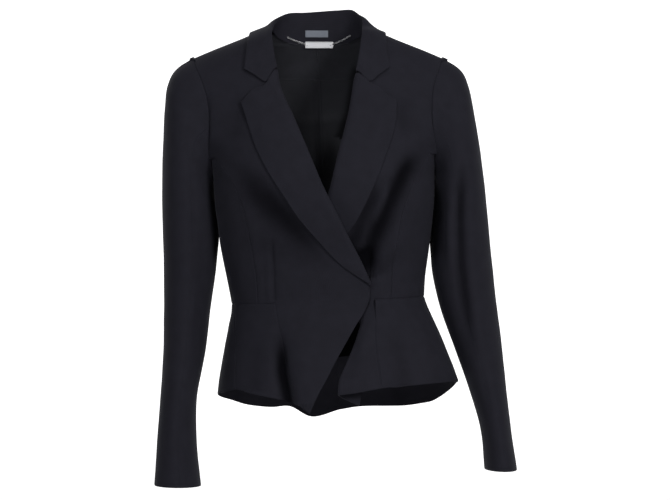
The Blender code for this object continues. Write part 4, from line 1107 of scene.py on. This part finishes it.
def collarRows():
    tree, places = shoulderTree()
    half = collar["halfRoll"]
    stations = [[Vector(p) for p in row] for row in collar["stations"]]
    rows = []
    for k, (seam, roll, edge) in enumerate(stations):
        before, after = stations[max(0, k - 1)][1], stations[min(len(stations) - 1, k + 1)][1]
        along = (after - before).normalized()
        toSeam, toEdge = (seam - roll).normalized(), (edge - roll).normalized()
        nose = -(toSeam + toEdge).normalized()
        nose = (nose - along * nose.dot(along)).normalized()
        apart = along.cross(nose)
        if apart.dot(toEdge - toSeam) < 0:
            apart = -apart
        inner, outer = (roll - nose * half + apart * turn for turn in (-half, half))
        foot = Vector((0, 0, collar["foot"] if seam.y > -30 else 0.0))
        row = [seam - foot, seam.lerp(inner, 0.5), inner, roll, outer]
        for share in (0.34, 0.67, 1.0):
            row.append(offBody(outer.lerp(edge, share), collar["leafLift"], tree, places))
        rows.append(row)
    for row, notch in zip((rows[0], rows[-1]), collar["notches"]):
        bearing, level = frontPlace(*notch)
        row[5] = bodyPoint(bearing, level, collar["notchLift"])
        row[6] = (row[5] + row[7]) / 2
    return rows, stations


def awayFromNeckFold(point):
    # the leaf faces out and the stand faces the neck
    near = min(collarMiddles, key=lambda c: (c - Vector(point)).length)
    return np.array(point) - np.array(near)


rows, stations = collarRows()
collarMiddles = [(row[1] + row[5]) / 2 for row in rows]
clothPiece("collar_cloth", rows, wool, collar["piece"], outward=awayFromNeckFold,
           sharp=(False, True), step=2.6)
print("collar done")

# neck facing and lining of the back
linings = {
    # painted shade on the lining and the neck facing: at the bottom of the V, in a strip beside the left
    # lapel's roll, and through the gap where the fronts cross below the waist
    "shades": [
        ([(24, -100), (18, -160), (12, -200), (4, -240)], 15, -9.5, 0.6, 0.0),
        ([(60, -18), (53, -60), (46, -100), (34, -140)], 6, -8.0, 0.2, 0.0),
        ([(60, -405), (48, -430), (36, -460), (20, -500)], 14, -14.0, 0.0, 0.5),
    ],
    "facing": {"slot": "jacket_cloth", "ripple": 0.4},
    "lining": {"slot": "lining", "ripple": 0.8},
    "depth": 1.9,
    # a pressed pleat down the centre back, and slack across the shoulder blades
    "folds": [
        ([(-2.5, -48), (-1, -120), (1, -220), (6, -330)], 2.6, -2.2, 0.02, 0.5),
        ([(-60, -110), (-20, -118), (30, -112), (70, -120)], 7, -1.2, 0.4, 0.4),
        ([(-40, -150), (-30, -220), (-24, -300)], 8, -1.6, 0.4, 0.4),
        ([(44, -140), (38, -220), (36, -300)], 8, -1.6, 0.4, 0.4),
    ],
}
liningLevels = tuple(level for level in levels if level <= -45)


def liningRelief(grid):
    # the back's own folds, and the lining's slack where it can hang free inside them
    places = seenFromFront(grid)
    return (reliefOf(places, backs["folds"]) + reliefOf(places, linings["folds"])) * onBack(grid)


for side, word in ((-1, "right"), (1, "left")):
    rows = [row[4:] for row in backRows(side, -linings["depth"], (20, 10, 0, -20, -45))]
    clothPiece(f"neck_facing_{word}_cloth", rows, paintedLightFacingWool, linings["facing"], folds=backs["folds"],
               foldSide=onBack, shades=linings["shades"][1:2], thickness=form["lining"])
    rows = backRows(side, -linings["depth"], liningLevels)
    rows += peplumBackRows(side, -linings["depth"])[1:-3]
    clothPiece(f"lining_back_{word}_cloth", rows, satin, linings["lining"], relief=liningRelief,
               shades=linings["shades"], thickness=form["lining"])
print("lining done")

# label, plate and chains inside the neck
trim = {
    "label": {"slot": "label_cloth", "held": "laid", "ripple": 0.2, "edgeDip": 0.15, "gap": 0.0},
    "labelBox": (-19.5, 15.0, 15.5, 26.0), "labelAhead": 0.9, "labelThickness": 0.5,
    "plateSize": (42.0, 1.4, 10.0), "plateCentre": (1.5, 34.7, 3.5), "frameWidth": 1.1, "sunk": 0.45,
    "round": 0.35, "rivetFromEnd": 3.4, "rivetRadius": 1.35, "rivetHeight": 0.45,
    "wire": 0.42, "linkHalf": 1.55, "linkWide": 1.0, "linkPitch": 2.15,
    # right or left, start and end x and z, how far ahead of the stand at the start
    "chains": [("right", (-45.0, 14.0), (-20.3, 5.0), -1.6), ("left", (47.5, 16.5), (23.3, 5.0), -2.1)],
    "sag": 0.8, "chainSteps": 40, "chainLowest": 6.0, "chainCloser": 3.0,
}


def standPoint(x, z):
    # a point on the inside of the collar stand
    seam, roll = (np.array([row[k] for row in stations if row[0].y > 0]) for k in (0, 1))
    seamY, seamZ = (np.interp(x, seam[:, 0], seam[:, k]) for k in (1, 2))
    topY = np.interp(x, roll[:, 0], roll[:, 1]) - collar["halfRoll"]
    return Vector((x, seamY + (topY - seamY) * (z - seamZ) / collar["standHeight"], z))


def trimObject(name, shape, node):
    obj = meshObject(name, shape, steel)
    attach(obj, "root")
    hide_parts(node)


left, right, low, high = trim["labelBox"]
rows = [[standPoint(x, z) - Vector((0, trim["labelAhead"], 0)) for x in spread(left, right, 4)]
        for z in (high, (high + low) / 2, low)]
clothPiece("neck_label_cloth", rows, labelCloth, trim["label"], outward=towardsViewer,
           thickness=trim["labelThickness"], step=1.2)

# the plate: a bar with a raised frame, a sunk bare field and a rivet at each end
shape = bmesh.new()
bmesh.ops.create_cube(shape, size=1.0)
bmesh.ops.scale(shape, vec=Vector(trim["plateSize"]) * mm, verts=shape.verts)
bmesh.ops.translate(shape, vec=Vector(trim["plateCentre"]) * mm, verts=shape.verts)
bmesh.ops.bevel(shape, geom=shape.edges[:], offset=trim["round"] * mm, segments=3, profile=0.5,
                affect="EDGES", material=-1)
face = min(shape.faces, key=lambda f: f.normal.y * f.calc_area())
bmesh.ops.inset_region(shape, faces=[face], thickness=trim["frameWidth"] * mm, depth=0)
bmesh.ops.inset_region(shape, faces=[face], thickness=trim["round"] * mm, depth=-trim["sunk"] * mm)
for end in (-1, 1):
    made = bmesh.ops.create_uvsphere(shape, u_segments=20, v_segments=10, radius=trim["rivetRadius"] * mm)
    bmesh.ops.scale(shape, vec=(1, trim["rivetHeight"], 1), verts=made["verts"])
    x = trim["plateCentre"][0] + end * (trim["plateSize"][0] / 2 - trim["rivetFromEnd"])
    y = trim["plateCentre"][1] - trim["plateSize"][1] / 2 + trim["sunk"]
    bmesh.ops.translate(shape, vec=Vector((x, y, trim["plateCentre"][2])) * mm, verts=made["verts"])
for face in shape.faces:
    face.smooth = face.calc_area() < 2e-7
trimObject("hanger_plate_steel", shape, "hanger_plate")


def addLink(shape, centre, along, normal, flat):
    # one oval wire ring: a small wire circle spun round, then stretched
    before = set(shape.verts)
    made = bmesh.ops.create_circle(shape, segments=6, radius=trim["wire"])
    bmesh.ops.translate(shape, vec=(trim["linkWide"], 0, 0), verts=made["verts"])
    for vert in made["verts"]:
        vert.co = Vector((vert.co.x, 0.0, vert.co.y))
    ring = [e for e in shape.edges if e.verts[0] in made["verts"] and e.verts[1] in made["verts"]]
    bmesh.ops.spin(shape, geom=made["verts"] + ring, cent=(0, 0, 0), axis=(0, 0, 1), angle=math.tau, steps=12,
                   use_merge=True)
    new = [v for v in shape.verts if v not in before]
    stretch = trim["linkHalf"] - trim["linkWide"]
    side = normal.cross(along).normalized()
    first, second = (side, normal) if flat else (normal, side)
    for vert in new:
        x, y, z = vert.co
        y += math.copysign(stretch, y) if abs(y) > 1e-6 else 0.0
        vert.co = (centre + first * x + along * y + second * z) * mm


for word, start, end, ahead in trim["chains"]:
    path = []
    for share in spread(0.0, 1.0, trim["chainSteps"]):
        x = start[0] + (end[0] - start[0]) * share
        z = start[1] + (end[1] - start[1]) * share - trim["sag"] * math.sin(math.pi * share)
        place = standPoint(x, max(z, trim["chainLowest"]))
        place.y += ahead - trim["chainCloser"] * share
        place.z = z
        path.append(place)
    lengths = [0.0]
    for first, second in zip(path, path[1:]):
        lengths.append(lengths[-1] + (second - first).length)
    shape = bmesh.new()
    number = int(lengths[-1] / trim["linkPitch"])
    for k in range(number + 1):
        at = lengths[-1] * k / number
        behind, point, beyond = (
            Vector([np.interp(at + move, lengths, [p[a] for p in path]) for a in range(3)])
            for move in (-1, 0, 1))
        along = (beyond - behind).normalized()
        normal = (Vector((0, -1, 0)) - along * -along.y).normalized()
        addLink(shape, point, along, normal, k % 2 == 0)
    for face in shape.faces:
        face.smooth = True
    bmesh.ops.recalc_face_normals(shape, faces=shape.faces)
    trimObject(f"hanger_chain_{word}_steel", shape, f"hanger_chain_{word}")
print("neck trim done")
